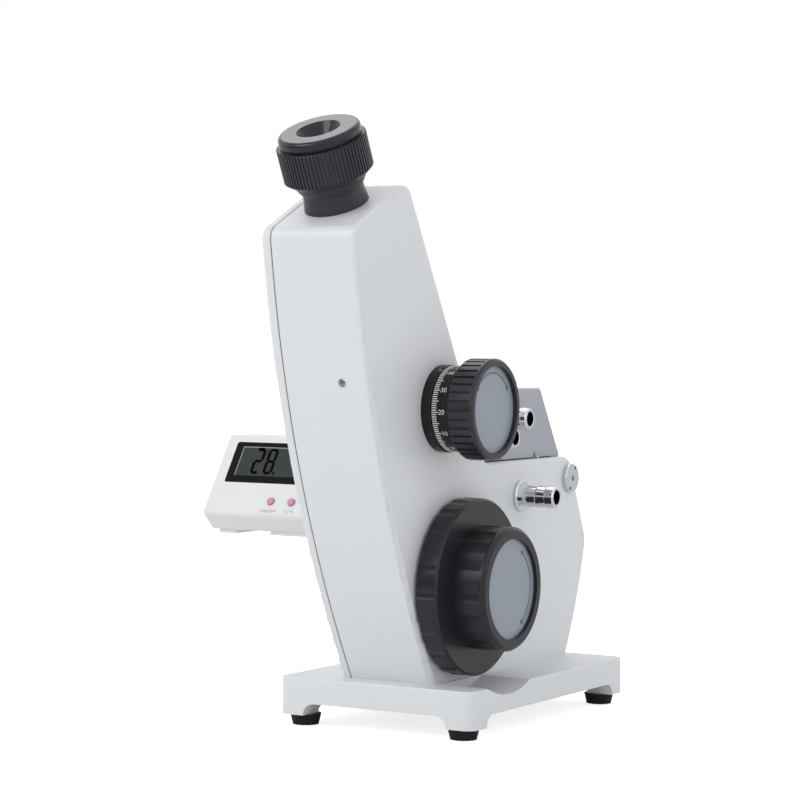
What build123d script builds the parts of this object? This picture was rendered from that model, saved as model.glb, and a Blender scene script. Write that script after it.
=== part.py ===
"""Abbe refractometer: a bench instrument with a hinged prism pair, built as an assembly.

Millimetres, +Z up. X is the operator's right, Y points away from the operator. The origin
is the centre of the base, on the plane that the four rubber feet stand on.
"""
import os
from math import acos, atan2, cos, degrees, hypot, pi, radians, sin, sqrt, tan

from build123d import *

os.makedirs("parts", exist_ok=True)

# ---------------------------------------------------------------- driving dimensions
# clearances
running = 0.05            # radial, shaft in bush
slack = 0.3               # between moving bodies that don't bear on each other
gear_backlash = 0.14      # tooth thickness taken off each gear

# base and feet
base_width = 89.0
base_length = 133.6
base_corner = 4.8
base_top = 19.5
base_arch_z = 9.2
pad_bottom = 4.36
pad_width = 16.5          # corner pad, along each side, at its foot
arch_end_radius = 4.8
skirt = 5.0               # wall round the hollow underside
base_deck = 6.0           # thickness of the top plate
foot_inset_x = 8.2        # foot axis, in from the side of the base
foot_inset_y = 7.8
foot_top_radius = 6.3
foot_bottom_radius = 5.2
scoop_radius = 41.3       # finger scoop beside the handwheel
scoop_start = 22.0

# housing side profile (y, z) and widths
wall = 3.0
housing_right = 20.75
seam_x = -16.7
cover_left = -21.0
front_foot_y = -56.1
front_arc_radius = 469.0
top_front = (-117.0, 195.5)
top_length = 44.5
tilt = 26.0               # of the eyepiece and of the top face
neck_foot_y = -13.4
ledge_z = 104.7
ledge_rear_y = 61.0
rear_widest = (77.5, 68.5)
rear_foot_y = 59.1
rear_arc_radius = 190.0
top_front_round = 5.5
top_rear_round = 5.0
ledge_round = 7.0
rear_round = 10.0
right_edge_round = 2.2
left_edge_round = 1.8
seam_bevel = 0.4
cover_boss_radius = 3.4
cover_boss_length = 8.0

# screws
m4_radius = 2.0
m3_radius = 1.5
m4_head_radius = 3.5
m4_head = 2.6
m3_head_radius = 2.75
m3_head = 1.7

# telescope and eyepiece, measured along and across the tilted axis
optical_x = -0.4
eye_offset = -6.6         # eyepiece axis in front of the telescope axis
barrel_radius = 11.5
barrel_bore = 9.6
barrel_lip_bore = 8.6
barrel_lip = 1.2
carrier_s = 66.0          # carrier plate above the dispersion knob's axis
carrier_thick = 5.0
web_thick = 5.0
lower_web_s = 32.0
eye_tube_radius = 12.6
eye_tube_bore = 9.6
eye_collar = 6.8          # visible height of the fixed tube
eye_spigot_radius = 11.0
eye_spigot_top = 21.6
knurl_radius = 17.4
knurl_bottom = 13.2
knurl_top = 26.3
knurl_count = 72
knurl_depth = 0.45
ring_neck_radius = 12.0
cone_top_radius = 14.3
cone_top = 10.6
eye_cap_radius = 16.0
eye_cap_top = 30.8
eye_cap_round = 1.8
eye_cap_groove = 0.9
eye_dish_radius = 8.6
eye_hole_radius = 5.2
eye_dish_depth = 4.4

# dispersion compensator
knob_y = -50.0
knob_z = 127.6
bevel_pitch_radius = 7.5
bevel_face = 1.6
bevel_teeth = 16
mount_length = 19.0
mount_bore = 5.9
amici_side = 8.0
knob_shaft_radius = 3.0
knob_bush_radius = 6.0
knob_bush_flange = 1.8
index_ring_radius = 17.2
index_ring_width = 4.0
index_angle = 62.0        # degrees up from the front
scale_ring_radius = 16.8
scale_ring_wall = 2.8
knob_gap = 0.3
scale_ring_front = 33.7
knob_radius = 19.8
knob_front = 44.8
knob_ribs = 36
knob_rib_groove = 1.1
knob_rib_depth = 0.7
knob_plate_radius = 17.1
knob_plate_recess = 2.7
plate_thick = 0.8

# handwheel and drive
wheel_y = -37.0
wheel_z = 56.9
wheel_back = 21.9
flange_front = 31.1
flange_radius = 35.1
flange_scallops = 24
flange_scallop_radius = 6.5
flange_scallop_depth = 0.5
grip_radius = 24.5
grip_front = 46.0
grip_rim = 1.6            # bevel between the grip and its front ring
grip_scallops = 12
scallop_radius = 13.0
scallop_depth = 0.9
wheel_plate_radius = 19.9
wheel_plate_recess = 2.4
wheel_shaft_radius = 4.0
wheel_journal_radius = 2.0
wheel_bush_radius = 7.0
wheel_bush_flange = 1.5
gear_module = 0.6
pinion_teeth = 12
sector_teeth = 100        # of a full circle
sector_span = 46.0        # degrees of teeth on the arm
arm_x = -15.5             # left face of the arm
arm_thick = 2.2
trunnion_radius = 2.5
trunnion_boss_radius = 5.0
trunnion_boss_x = 12.8
mirror_width = 20.0
mirror_length = 16.0
mirror_thick = 2.0
scale_radius = 25.5       # glass scale's outer radius about the mirror axis
scale_width = 7.0
scale_span = 44.0
scale_direction = 171.0   # from +Y, degrees

# reading optics
read_y = -20.0            # across the telescope axis
read_x = -4.0
read_tube_radius = 6.0
read_tube_bore = 4.8
read_bottom_s = -24.0

# lower prism seat
seat_left = -16.2
seat_right = 17.25
seat_front = -6.5
seat_rear = 50.5
seat_bottom = 80.0
seat_top = 104.3
prism_top = 104.6
prism_half_width = 11.0
prism_front = 2.0
prism_rear = 34.0
prism_depth = 20.0
prism_exit_tilt = 9.0
shelf = 4.0

# hose nipples
nipple_bore = 3.0
nipple_root_radius = 4.0
nipple_barb_radius = 4.6
nipple_nose = 0.6
nipple_flange_radius = 6.6
nipple_flange = 1.6
nipple_length = 17.0
nipple_barbs = 3
nipple_shank_radius = 4.0
lower_nipple_y = 15.6
lower_nipple_z = 89.9
left_nipple_y = 42.0

# upper prism holder and hinge
hinge_y = 59.4
hinge_z = 95.4
hinge_pin_radius = 2.5
hinge_lug_radius = 6.0
hinge_lug_width = 5.5
hinge_cap_radius = 6.2
hinge_cap_thick = 2.0
cap_hole_radius = 0.75
cap_hole_pitch = 4.9
cap_hole_angle = 61.0
holder_left = -16.3
holder_right = 16.0
holder_bottom = 105.0
holder_top = 134.2
holder_front_y = -9.8
holder_nose = (-15.4, 115.5)
holder_top_front_y = -2.0
holder_top_rear_y = 42.2
holder_rear_y = 60.4
holder_edge_round = 1.2
lug_centre = 12.7           # from the optical plane to the middle of a lug
film_gap = 0.15           # sample film between the prisms
upper_nipple_a = (6.3, 122.3)
upper_nipple_b = (-6.1, 114.9)
upper_nipple_length = 14.0
dowel_y = 37.6
dowel_radius = 1.1
dowel_proud = 0.5

# prism lock
lock_y = 2.0
lock_z = 111.0
lock_shaft_radius = 2.0
lock_knob_radius = 5.9
lock_knob_width = 9.0
lock_ribs = 18
lock_shaft_end = -9.6
lock_gap = 0.5            # between the knob and the left cover's line
hook_width = 2.2
hook_x = -14.6
hook_thick = 2.4
hook_span = 85.0          # degrees, and the turn that locks it
hook_rest = -25.0         # its leading end at rest, from +Y
latch_radius = 0.9

# light window shade and rear reflector
shade_width = 22.0
shade_length = 20.0
shade_thick = 1.0
shade_start = 4.0         # from the top rear edge, down the slope
knuckle_radius = 0.9
flap_pin_radius = 0.5
flap_pin_length = 1.0
light_gate_width = 16.0   # opening behind the shade
light_gate_length = 12.0
prism_entry_y = 40.0      # rear corner of the illuminating prism
prism_entry_length = 20.0
reflector_width = 24.0
reflector_length = 13.0
reflector_start = 20.0    # from the ledge corner, down the slope
reflector_thick = 1.4

# scale light window and mirror on the left cover
scale_glass_radius = 7.0
scale_glass_thick = 2.0
light_mirror_size = 14.0
light_mirror_thick = 2.2
light_hinge_radius = 1.6
light_pin_radius = 0.6
ear_thick = 2.0

# calibration screw in the front face
calibration_x = 8.7
calibration_z = 138.0
calibration_hole = 1.75
calibration_depth = 1.8   # the screw's head below the face
calibration_head = 1.4
calibration_length = 9.0
calibration_boss = 4.0

# digital thermometer
case_left = -93.0
case_right = -31.0
case_front_y = -52.0
case_front_z = 81.9
case_panel_length = 37.7
case_panel_tilt = 32.7
case_rear_y = -14.0
case_bottom = 75.0
case_lip_y = -44.6
case_split_y = -24.0
case_wall = 1.8
case_round = 2.0
case_foot = 1.6
case_feet = [(-90.5, -81.0), (-65.1, -38.0)]
lcd_left = -87.2
lcd_right = -41.2
lcd_low = 15.2
lcd_high = 34.5
lcd_rim = 1.6
lcd_glass = 1.0
button_up = 6.8
power_button_x = -60.8
unit_button_x = -50.8
button_radius = 1.6
button_proud = 1.1
button_travel = 0.8
button_clear = 0.15
board_depth = 5.4
board_thick = 1.2
battery_radius = 5.8
battery_thick = 5.4
battery_x = -70.0
battery_z = 88.0
battery_cover_radius = 8.0
battery_cover_thick = 1.2
probe_radius = 2.0
probe_x = -40.0
probe_bend = 8.0
probe_y = 22.0
probe_z = 93.0
probe_seat_radius = 6.0
probe_seat_length = 8.0
probe_tip_x = -2.0

# ---------------------------------------------------------------- derived places
tilt_sin = sin(radians(tilt))
tilt_cos = cos(radians(tilt))
top_rear = (top_front[0] + top_length * tilt_cos, top_front[1] + top_length * tilt_sin)

# the telescope's frame: its z runs up the tilted axis, its y to the rear
telescope = Plane(origin=(optical_x, knob_y, knob_z), x_dir=(1, 0, 0), z_dir=(0, -tilt_sin, tilt_cos))
face_s = (top_front[0] - knob_y) * -tilt_sin + (top_front[1] - knob_z) * tilt_cos


def on_telescope(s, y=0.0, x=0.0):
    """A plane square to the telescope axis, s above the dispersion knob's axis."""
    return Plane(origin=telescope.from_local_coords((x, y, s)), x_dir=(1, 0, 0), z_dir=telescope.z_dir)


eyepiece = on_telescope(face_s, eye_offset)

# the rotating mirror stands on the telescope axis, one gear centre distance from the handwheel
pinion_radius = gear_module * pinion_teeth / 2
sector_radius = gear_module * sector_teeth / 2
gear_distance = pinion_radius + sector_radius
wheel_along = (wheel_y - knob_y) * tilt_sin - (wheel_z - knob_z) * tilt_cos
wheel_across = (wheel_y - knob_y) * tilt_cos + (wheel_z - knob_z) * tilt_sin
mirror_drop = wheel_along - sqrt(gear_distance**2 - wheel_across**2)
mirror_y = knob_y + mirror_drop * tilt_sin
mirror_z = knob_z - mirror_drop * tilt_cos
to_wheel = degrees(atan2(wheel_z - mirror_z, wheel_y - mirror_y))


def side(x):
    """A side-view plane at x: its own x is Y and its own y is Z."""
    return Plane(origin=(x, 0, 0), x_dir=(0, 1, 0), z_dir=(1, 0, 0))


def side_at(x, y, z):
    """The same plane, centred on a point."""
    return Plane(origin=(x, y, z), x_dir=(0, 1, 0), z_dir=(1, 0, 0))


def turned(outline, y, z):
    """A body turned about an axis along X through (y, z), from (x, radius) points."""
    with BuildPart() as blank:
        with BuildSketch(Plane(origin=(0, y, z), x_dir=(1, 0, 0), z_dir=(0, -1, 0))):
            with BuildLine():
                Polyline(*outline, close=True)
            make_face()
        revolve(axis=Axis((0, y, z), (1, 0, 0)))
    return blank.part


def turned_up(outline, place):
    """A body turned about the z axis of a plane, from (radius, height) points."""
    with BuildPart() as blank:
        with BuildSketch(Plane.XZ):
            with BuildLine():
                Polyline(*outline, close=True)
            make_face()
        revolve(axis=Axis.Z)
    return place.location * blank.part


def finish(builder, name):
    """Label a finished piece and write it."""
    builder.part.label = name
    export_step(builder.part, f"parts/{name}.step")
    print(f"{name:28s} {len(builder.part.solids()):2d} {builder.part.volume:10.1f}")


def front_y(z):
    """The housing's front face at a height."""
    chord = (top_front[0] - front_foot_y, top_front[1] - base_top)
    length = hypot(*chord)
    sag = sqrt(front_arc_radius**2 - length**2 / 4)
    middle = (front_foot_y + chord[0] / 2, base_top + chord[1] / 2)
    centre_y = middle[0] + sag * chord[1] / length
    centre_z = middle[1] - sag * chord[0] / length
    return centre_y - sqrt(front_arc_radius**2 - (z - centre_z) ** 2)


def neck_y(z):
    """The neck's rear face at a height."""
    share = (z - ledge_z) / (top_rear[1] - ledge_z)
    return neck_foot_y + share * (top_rear[0] - neck_foot_y)


def rear_low_y(z):
    """The chord of the rear face below its widest point, at a height."""
    share = (z - base_top) / (rear_widest[1] - base_top)
    return rear_foot_y + share * (rear_widest[0] - rear_foot_y)


def flap_room(place, width, length, thick):
    """What a flush flap takes out of its seat: its recess, knuckle trough and pin holes."""
    with BuildPart() as room:
        for low, high, depth in (
            (-knuckle_radius - slack, knuckle_radius + slack, 2 * knuckle_radius + slack),
            (0, length + slack, thick + slack),
        ):
            with BuildSketch(place.offset(-depth)):
                with Locations((0, (low + high) / 2)):
                    Rectangle(width + 2 * slack, high - low)
            extrude(amount=depth + 4)
        axle = Plane(place.from_local_coords((0, 0, -knuckle_radius)), x_dir=place.y_dir, z_dir=place.x_dir)
        pin_reach = width / 2 + flap_pin_length + slack
        with BuildSketch(axle.offset(-pin_reach)):
            Circle(flap_pin_radius + running)
        extrude(amount=2 * pin_reach)
    return room.part


def flap_body(place, width, length, thick):
    """A flush flap that hangs on two pins at its knuckle, along the plane's x."""
    with BuildPart() as body:
        with BuildSketch(place.offset(-thick)):
            with Locations((0, length / 2)):
                Rectangle(width, length)
        extrude(amount=thick)
        axle = Plane(place.from_local_coords((0, 0, -knuckle_radius)), x_dir=place.y_dir, z_dir=place.x_dir)
        for reach, radius in ((width / 2, knuckle_radius), (width / 2 + flap_pin_length, flap_pin_radius)):
            with BuildSketch(axle.offset(-reach)):
                Circle(radius)
            extrude(amount=2 * reach)
    return body.part


# the rear reflector lies in the slope behind the ledge, hinged at its lower edge
slope = Vector(0, rear_widest[0] - ledge_rear_y, rear_widest[1] - ledge_z).normalized()
reflector_foot = Vector(0, ledge_rear_y, ledge_z) + slope * (reflector_start + reflector_length)
reflector_place = Plane(reflector_foot, x_dir=(-1, 0, 0), z_dir=(0, -slope.Z, slope.Y))

# the calibration screw stands square to the front face
front_lean = front_y(calibration_z + 0.5) - front_y(calibration_z - 0.5)
calibration_place = Plane((calibration_x, front_y(calibration_z), calibration_z),
                          x_dir=(1, 0, 0), z_dir=Vector(0, -1, front_lean).normalized())

# ---------------------------------------------------------------- side profile of the housing
with BuildSketch(Plane.XY) as profile:
    with BuildLine():
        RadiusArc((front_foot_y, base_top), top_front, front_arc_radius)
        Polyline(top_front, top_rear, (neck_foot_y, ledge_z), (ledge_rear_y, ledge_z), rear_widest)
        RadiusArc(rear_widest, (rear_foot_y, base_top), rear_arc_radius)
        Line((rear_foot_y, base_top), (front_foot_y, base_top))
    make_face()
    for corner, radius in (
        (top_front, top_front_round),
        (top_rear, top_rear_round),
        ((ledge_rear_y, ledge_z), ledge_round),
        (rear_widest, rear_round),
    ):
        fillet(profile.vertices().sort_by_distance(Vector(*corner))[0], radius)

with BuildSketch(Plane.XY) as cavity_profile:
    offset(profile.sketch, amount=-wall)


def profile_slab(sketch, x_from, x_to):
    """The side profile, or its inside, as a slab between two x."""
    with BuildPart() as slab:
        with BuildSketch(side(x_from)):
            add(sketch)
        extrude(amount=x_to - x_from)
    return slab.part


cavity = profile_slab(cavity_profile.sketch, seam_x, housing_right - wall)

# cover screws: each just inside the wall that it is cast against
boss_inset = wall + cover_boss_radius - 1.0
cover_screw_places = [
    (front_y(34) + boss_inset + 1, 34),
    (front_y(98) + boss_inset, 98),
    (front_y(180) + boss_inset, 180),
    (neck_y(203) - boss_inset - 1.5, 203),
    (neck_y(120) - boss_inset - 1.5, 120),
    (rear_widest[0] - boss_inset - 1.0, rear_widest[1]),
    (rear_low_y(34) - boss_inset + 0.6, 34),
]

# ---------------------------------------------------------------- base
half_width = base_width / 2
half_length = base_length / 2
foot_x = half_width - foot_inset_x
foot_y = half_length - foot_inset_y
frame_screw_places = [(x, y) for x in (-8.0, 12.0) for y in (-42.0, 44.0)]

with BuildPart() as base_casting:
    with BuildSketch(Plane.XY.offset(pad_bottom)):
        RectangleRounded(base_width, base_length, base_corner)
    extrude(amount=base_top - pad_bottom)
    fillet(base_casting.faces().sort_by(Axis.Z)[-1].outer_wire().edges(), 0.8)
    # arches between the corner pads, with quarter-round ends
    for turn, span, across in ((0, base_width, base_length), (90, base_length, base_width)):
        opening = span - 2 * pad_width
        height = base_arch_z - pad_bottom
        with BuildSketch(Plane.XZ.rotated((0, 0, turn)).offset(-across)):
            with Locations((0, pad_bottom)):
                Rectangle(opening, 2 * height)
            with Locations((-opening / 2, pad_bottom), (opening / 2, pad_bottom)):
                Circle(arch_end_radius)
        extrude(amount=2 * across, mode=Mode.SUBTRACT)
    # hollow underside, with bosses for the feet and the housing's screws
    with BuildSketch(Plane.XY.offset(pad_bottom)) as hollow:
        RectangleRounded(base_width - 2 * skirt, base_length - 2 * skirt, base_corner / 2)
        with Locations(*[(sx * foot_x, sy * foot_y) for sx in (-1, 1) for sy in (-1, 1)]):
            Rectangle(pad_width + 2, pad_width + 2, mode=Mode.SUBTRACT)
        with Locations(*frame_screw_places):
            Circle(m4_head_radius + 3.0, mode=Mode.SUBTRACT)
    extrude(amount=base_top - base_deck - pad_bottom, mode=Mode.SUBTRACT)
    with Locations(*[(x, y, pad_bottom) for x, y in frame_screw_places]):
        Hole(m4_radius + 0.2, depth=base_top)
    with Locations(*[(x, y, base_arch_z - 3) for x, y in frame_screw_places]):
        Cylinder(m4_head_radius + 0.5, 8, align=(Align.CENTER, Align.CENTER, Align.MIN), mode=Mode.SUBTRACT)
    with Locations(*[(x, y, pad_bottom - 6) for x, y in frame_screw_places]):
        Cylinder(m4_head_radius + 3.0, base_arch_z - 3 - pad_bottom + 6,
                 align=(Align.CENTER, Align.CENTER, Align.MIN), mode=Mode.SUBTRACT)
    # threaded holes for the foot screws
    with Locations(*[(sx * foot_x, sy * foot_y, pad_bottom) for sx in (-1, 1) for sy in (-1, 1)]):
        Cylinder(m3_radius, 9, align=(Align.CENTER, Align.CENTER, Align.MIN), mode=Mode.SUBTRACT)
    # finger scoop, concentric with the handwheel
    with BuildSketch(side_at(scoop_start, wheel_y, wheel_z)):
        Circle(scoop_radius)
    extrude(amount=half_width, mode=Mode.SUBTRACT)
finish(base_casting, "base_casting")

# feet: tapered rubber with a recess for the screw head
foot_outline = [
    (m3_radius + 0.1, pad_bottom), (foot_top_radius, pad_bottom), (foot_bottom_radius, 0),
    (m3_head_radius + 0.3, 0), (m3_head_radius + 0.3, m3_head + 0.6), (m3_radius + 0.1, m3_head + 0.6),
]
foot_screw_outline = [
    (0, 0.6), (m3_head_radius, 0.6), (m3_head_radius, m3_head + 0.6), (m3_radius, m3_head + 0.6),
    (m3_radius, pad_bottom + 8), (0, pad_bottom + 8),
]
foot_places = [(sx * foot_x, sy * foot_y) for sx in (-1, 1) for sy in (-1, 1)]
with BuildPart() as rubber_feet:
    for x, y in foot_places:
        add(turned_up(foot_outline, Plane(origin=(x, y, 0))))
finish(rubber_feet, "rubber_feet")

with BuildPart() as foot_screws:
    for x, y in foot_places:
        add(turned_up(foot_screw_outline, Plane(origin=(x, y, 0))))
finish(foot_screws, "foot_screws")

# ---------------------------------------------------------------- housing
inner_right = housing_right - wall
ledge_opening_front = seat_front - 1.0
rear_slot_bottom = 88.0

# two webs across the neck carry the telescope; a shelf carries the lower prism seat
with BuildPart() as neck_webs:
    with BuildSketch(on_telescope(carrier_s - web_thick), on_telescope(lower_web_s)):
        with Locations((2.0 - optical_x, -8.0)):
            Rectangle(32.0, 70.0)
        Circle(barrel_radius, mode=Mode.SUBTRACT)
        with Locations((read_x, read_y)):
            Circle(read_tube_radius, mode=Mode.SUBTRACT)
    extrude(amount=web_thick, dir=telescope.z_dir)
    add(cavity, mode=Mode.INTERSECT)

with BuildPart() as housing_casting:
    add(profile_slab(profile.sketch, seam_x, housing_right))
    outer_right = housing_casting.faces().sort_by(Axis.X)[-1]
    bottom_edge = outer_right.edges().sort_by(Axis.Z)[0]
    fillet([edge for edge in outer_right.edges() if edge != bottom_edge], right_edge_round)
    seam_face = housing_casting.faces().sort_by(Axis.X)[0]
    chamfer(seam_face.outer_wire().edges(), seam_bevel)
    add(cavity, mode=Mode.SUBTRACT)
    add(neck_webs.part)
    # floor bosses for the screws that come up through the base
    with Locations(*[(x, y, base_top) for x, y in frame_screw_places]):
        Cylinder(m4_radius + 3.0, 12, align=(Align.CENTER, Align.CENTER, Align.MIN))
        Cylinder(m4_radius, 11, align=(Align.CENTER, Align.CENTER, Align.MIN), mode=Mode.SUBTRACT)
    # bosses for the cover screws, cast against the wall
    with BuildSketch(side(seam_x)):
        with Locations(*cover_screw_places):
            Circle(cover_boss_radius)
    extrude(amount=cover_boss_length)
    with BuildSketch(side(seam_x)):
        with Locations(*cover_screw_places):
            Circle(m3_radius)
    extrude(amount=cover_boss_length - 1.0, mode=Mode.SUBTRACT)
    # shelf under the lower prism seat, cast out from the right wall
    with BuildSketch(side(seat_left + 2.0)):
        with Locations(((seat_front + seat_rear) / 2, seat_bottom - shelf / 2)):
            Rectangle(seat_rear - seat_front, shelf)
    extrude(amount=inner_right - seat_left - 2.0)
    # the ledge is open over the prism seat, and the rear wall is slotted for the hinge lugs
    with BuildSketch(side(seam_x)):
        with Locations((ledge_opening_front, seat_top - 6.0)):
            Rectangle(80, 20, align=(Align.MIN, Align.MIN))
        with Locations((seat_rear + 2.0, rear_slot_bottom)):
            Rectangle(40, 40, align=(Align.MIN, Align.MIN))
    extrude(amount=inner_right - seam_x, mode=Mode.SUBTRACT)
    # blind boss for the right end of the mirror's trunnion
    with BuildSketch(side_at(trunnion_boss_x, mirror_y, mirror_z)):
        Circle(trunnion_boss_radius)
    extrude(amount=inner_right - trunnion_boss_x)
    with BuildSketch(side_at(trunnion_boss_x, mirror_y, mirror_z)):
        Circle(trunnion_radius + running)
    extrude(amount=inner_right - trunnion_boss_x + 0.8, mode=Mode.SUBTRACT)
    # tilted hole for the eyepiece tube
    with BuildSketch(eyepiece.offset(-6)):
        Circle(eye_tube_radius)
    extrude(amount=12, mode=Mode.SUBTRACT)
    # bores in the right wall
    for y, z, radius in (
        (knob_y, knob_z, knob_bush_radius),
        (wheel_y, wheel_z, wheel_bush_radius),
        (hinge_y, hinge_z, hinge_pin_radius),
        (lower_nipple_y, lower_nipple_z, nipple_shank_radius + 0.3),
    ):
        with BuildSketch(side_at(inner_right - 1, y, z)):
            Circle(radius)
        extrude(amount=wall + 2, mode=Mode.SUBTRACT)
    # seat and light opening of the rear reflector
    add(flap_room(reflector_place, reflector_width, reflector_length, reflector_thick), mode=Mode.SUBTRACT)
    with BuildSketch(reflector_place.offset(-wall - 3)):
        with Locations((0, reflector_length / 2 + 1.0)):
            Rectangle(reflector_width - 6, reflector_length - 6)
    extrude(amount=wall + 3, mode=Mode.SUBTRACT)
    # boss and hole of the calibration screw
    with BuildSketch(calibration_place.offset(-calibration_length - calibration_depth)):
        Circle(calibration_boss)
    extrude(amount=calibration_length + calibration_depth - wall / 2)
    with BuildSketch(calibration_place.offset(-calibration_length - calibration_depth - 1)):
        Circle(m3_radius)
    extrude(amount=calibration_length + calibration_depth + 2, mode=Mode.SUBTRACT)
    with BuildSketch(calibration_place.offset(-calibration_depth - calibration_head)):
        Circle(calibration_hole)
    extrude(amount=calibration_depth + calibration_head + 2, mode=Mode.SUBTRACT)
finish(housing_casting, "housing_casting")

with BuildPart() as calibration_screw:
    with BuildSketch(calibration_place.offset(-calibration_depth - calibration_length)):
        Circle(m3_radius)
    extrude(amount=calibration_length)
    with BuildSketch(calibration_place.offset(-calibration_depth - calibration_head)):
        Circle(calibration_hole - running)
    extrude(amount=calibration_head)
    with BuildSketch(calibration_place.offset(-calibration_depth)):
        Rectangle(4, 0.6)
    extrude(amount=-0.8, mode=Mode.SUBTRACT)
finish(calibration_screw, "calibration_screw")

# ---------------------------------------------------------------- left cover
scale_window_place = telescope.from_local_coords((0, read_y, read_bottom_s - read_tube_radius + 1.0))
scale_window_y = scale_window_place.Y
scale_window_z = scale_window_place.Z
light_hinge_y = scale_window_y - light_mirror_size / 2 - light_hinge_radius

with BuildPart() as left_cover:
    add(profile_slab(profile.sketch, cover_left, seam_x))
    outer_left = left_cover.faces().sort_by(Axis.X)[0]
    bottom_edge = outer_left.edges().sort_by(Axis.Z)[0]
    fillet([edge for edge in outer_left.edges() if edge != bottom_edge], left_edge_round)
    chamfer(left_cover.faces().sort_by(Axis.X)[-1].outer_wire().edges(), seam_bevel)
    # blind bosses inside for the left ends of the handwheel shaft and the mirror trunnion
    for y, z, bush in ((wheel_y, wheel_z, wheel_journal_radius), (mirror_y, mirror_z, trunnion_radius)):
        with BuildSketch(side_at(cover_left + 1.5, y, z)):
            Circle(bush + running)
        extrude(amount=10, mode=Mode.SUBTRACT)
    for y, z, radius in (
        (hinge_y, hinge_z, hinge_pin_radius),
        (left_nipple_y, lower_nipple_z, nipple_shank_radius + 0.3),
        (probe_y, probe_z, probe_seat_radius - 2.0),
        (scale_window_y, scale_window_z, scale_glass_radius - 1.0),
    ):
        with BuildSketch(side_at(cover_left - 1, y, z)):
            Circle(radius)
        extrude(amount=seam_x - cover_left + 2, mode=Mode.SUBTRACT)
    with BuildSketch(side_at(cover_left, scale_window_y, scale_window_z)):
        Circle(scale_glass_radius)
    extrude(amount=scale_glass_thick, mode=Mode.SUBTRACT)
    # countersunk screw holes
    for y, z in cover_screw_places:
        with BuildSketch(side_at(cover_left - 1, y, z)):
            Circle(m3_radius + 0.2)
        extrude(amount=seam_x - cover_left + 2, mode=Mode.SUBTRACT)
        add(turned([(cover_left - 0.1, 0), (cover_left - 0.1, m3_head_radius + 0.2),
                    (cover_left + m3_head, m3_radius + 0.2), (cover_left + m3_head, 0)], y, z),
            mode=Mode.SUBTRACT)
    # two ears carry the pivot of the scale light mirror
    for end in (-1, 1):
        ear_z = scale_window_z + end * (light_mirror_size / 2 + slack + ear_thick / 2)
        with BuildSketch(Plane.XY.offset(ear_z - ear_thick / 2)):
            with Locations((cover_left - light_hinge_radius, light_hinge_y)):
                Circle(light_hinge_radius)
                Rectangle(light_hinge_radius, 2 * light_hinge_radius, align=(Align.MIN, Align.CENTER))
                Circle(light_pin_radius + running, mode=Mode.SUBTRACT)
        extrude(amount=ear_thick)
finish(left_cover, "left_cover")

with BuildPart() as cover_screws:
    for y, z in cover_screw_places:
        add(turned([(cover_left, 0), (cover_left, m3_head_radius), (cover_left + m3_head, m3_radius),
                    (seam_x + cover_boss_length - 2.0, m3_radius),
                    (seam_x + cover_boss_length - 2.0, 0)], y, z))
        with BuildSketch(side_at(cover_left, y, z)):
            RegularPolygon(1.1, 6)
        extrude(amount=1.0, mode=Mode.SUBTRACT)
finish(cover_screws, "cover_screws")

frame_screw_outline = [
    (0, base_arch_z - 3 + 8 - m4_head), (m4_head_radius, base_arch_z - 3 + 8 - m4_head),
    (m4_head_radius, base_arch_z - 3 + 8), (m4_radius, base_arch_z - 3 + 8),
    (m4_radius, base_top + 9), (0, base_top + 9),
]
with BuildPart() as frame_screws:
    for x, y in frame_screw_places:
        add(turned_up(frame_screw_outline, Plane(origin=(x, y, 0))))
finish(frame_screws, "frame_screws")

# ---------------------------------------------------------------- telescope and eyepiece
eye_tube_foot = carrier_s + carrier_thick - face_s
eye_cell_bottom = 2.0

with BuildPart() as telescope_barrel:
    with BuildSketch(on_telescope(-mount_length - bevel_pitch_radius - barrel_lip - slack)):
        Circle(barrel_radius)
    barrel_bottom = mount_length + bevel_pitch_radius + barrel_lip + slack
    extrude(amount=carrier_s + barrel_bottom)
    with BuildSketch(on_telescope(-barrel_bottom + barrel_lip)):
        Circle(barrel_bore)
    extrude(amount=2 * (barrel_bottom - barrel_lip), mode=Mode.SUBTRACT)
    with BuildSketch(on_telescope(-barrel_bottom)):
        Circle(barrel_lip_bore)
    extrude(amount=carrier_s + barrel_bottom, mode=Mode.SUBTRACT)
    # seat for the objective, entered from the top
    with BuildSketch(on_telescope(lower_web_s + web_thick)):
        Circle(barrel_bore)
    extrude(amount=carrier_s - lower_web_s, mode=Mode.SUBTRACT)
    # window for the bevel pinion
    with BuildSketch(side_at(optical_x, knob_y, knob_z)):
        Circle(bevel_pitch_radius + 1.4)
    extrude(amount=barrel_radius + 1, mode=Mode.SUBTRACT)
finish(telescope_barrel, "telescope_barrel")

with BuildPart() as graticule_carrier:
    with BuildSketch(on_telescope(carrier_s)):
        with Locations((1.0, -8.0)):
            RectangleRounded(27.0, 38.0, 4.0)
        Circle(barrel_lip_bore - 0.6, mode=Mode.SUBTRACT)
        with Locations((read_x, read_y)):
            Circle(read_tube_bore - 0.6, mode=Mode.SUBTRACT)
    extrude(amount=carrier_thick)
    with BuildSketch(on_telescope(carrier_s + carrier_thick - 2.0, eye_offset)):
        Circle(eye_tube_bore)
    extrude(amount=2.0, mode=Mode.SUBTRACT)
finish(graticule_carrier, "graticule_carrier")

with BuildPart() as eyepiece_tube:
    add(turned_up([
        (eye_tube_bore, eye_tube_foot), (eye_tube_radius, eye_tube_foot), (eye_tube_radius, 0.0),
        (ring_neck_radius - 0.3, eye_collar - 0.1), (eye_spigot_radius, eye_collar - 0.1),
        (eye_spigot_radius, eye_spigot_top), (eye_tube_bore, eye_spigot_top),
    ], eyepiece))
finish(eyepiece_tube, "eyepiece_tube")

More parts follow.
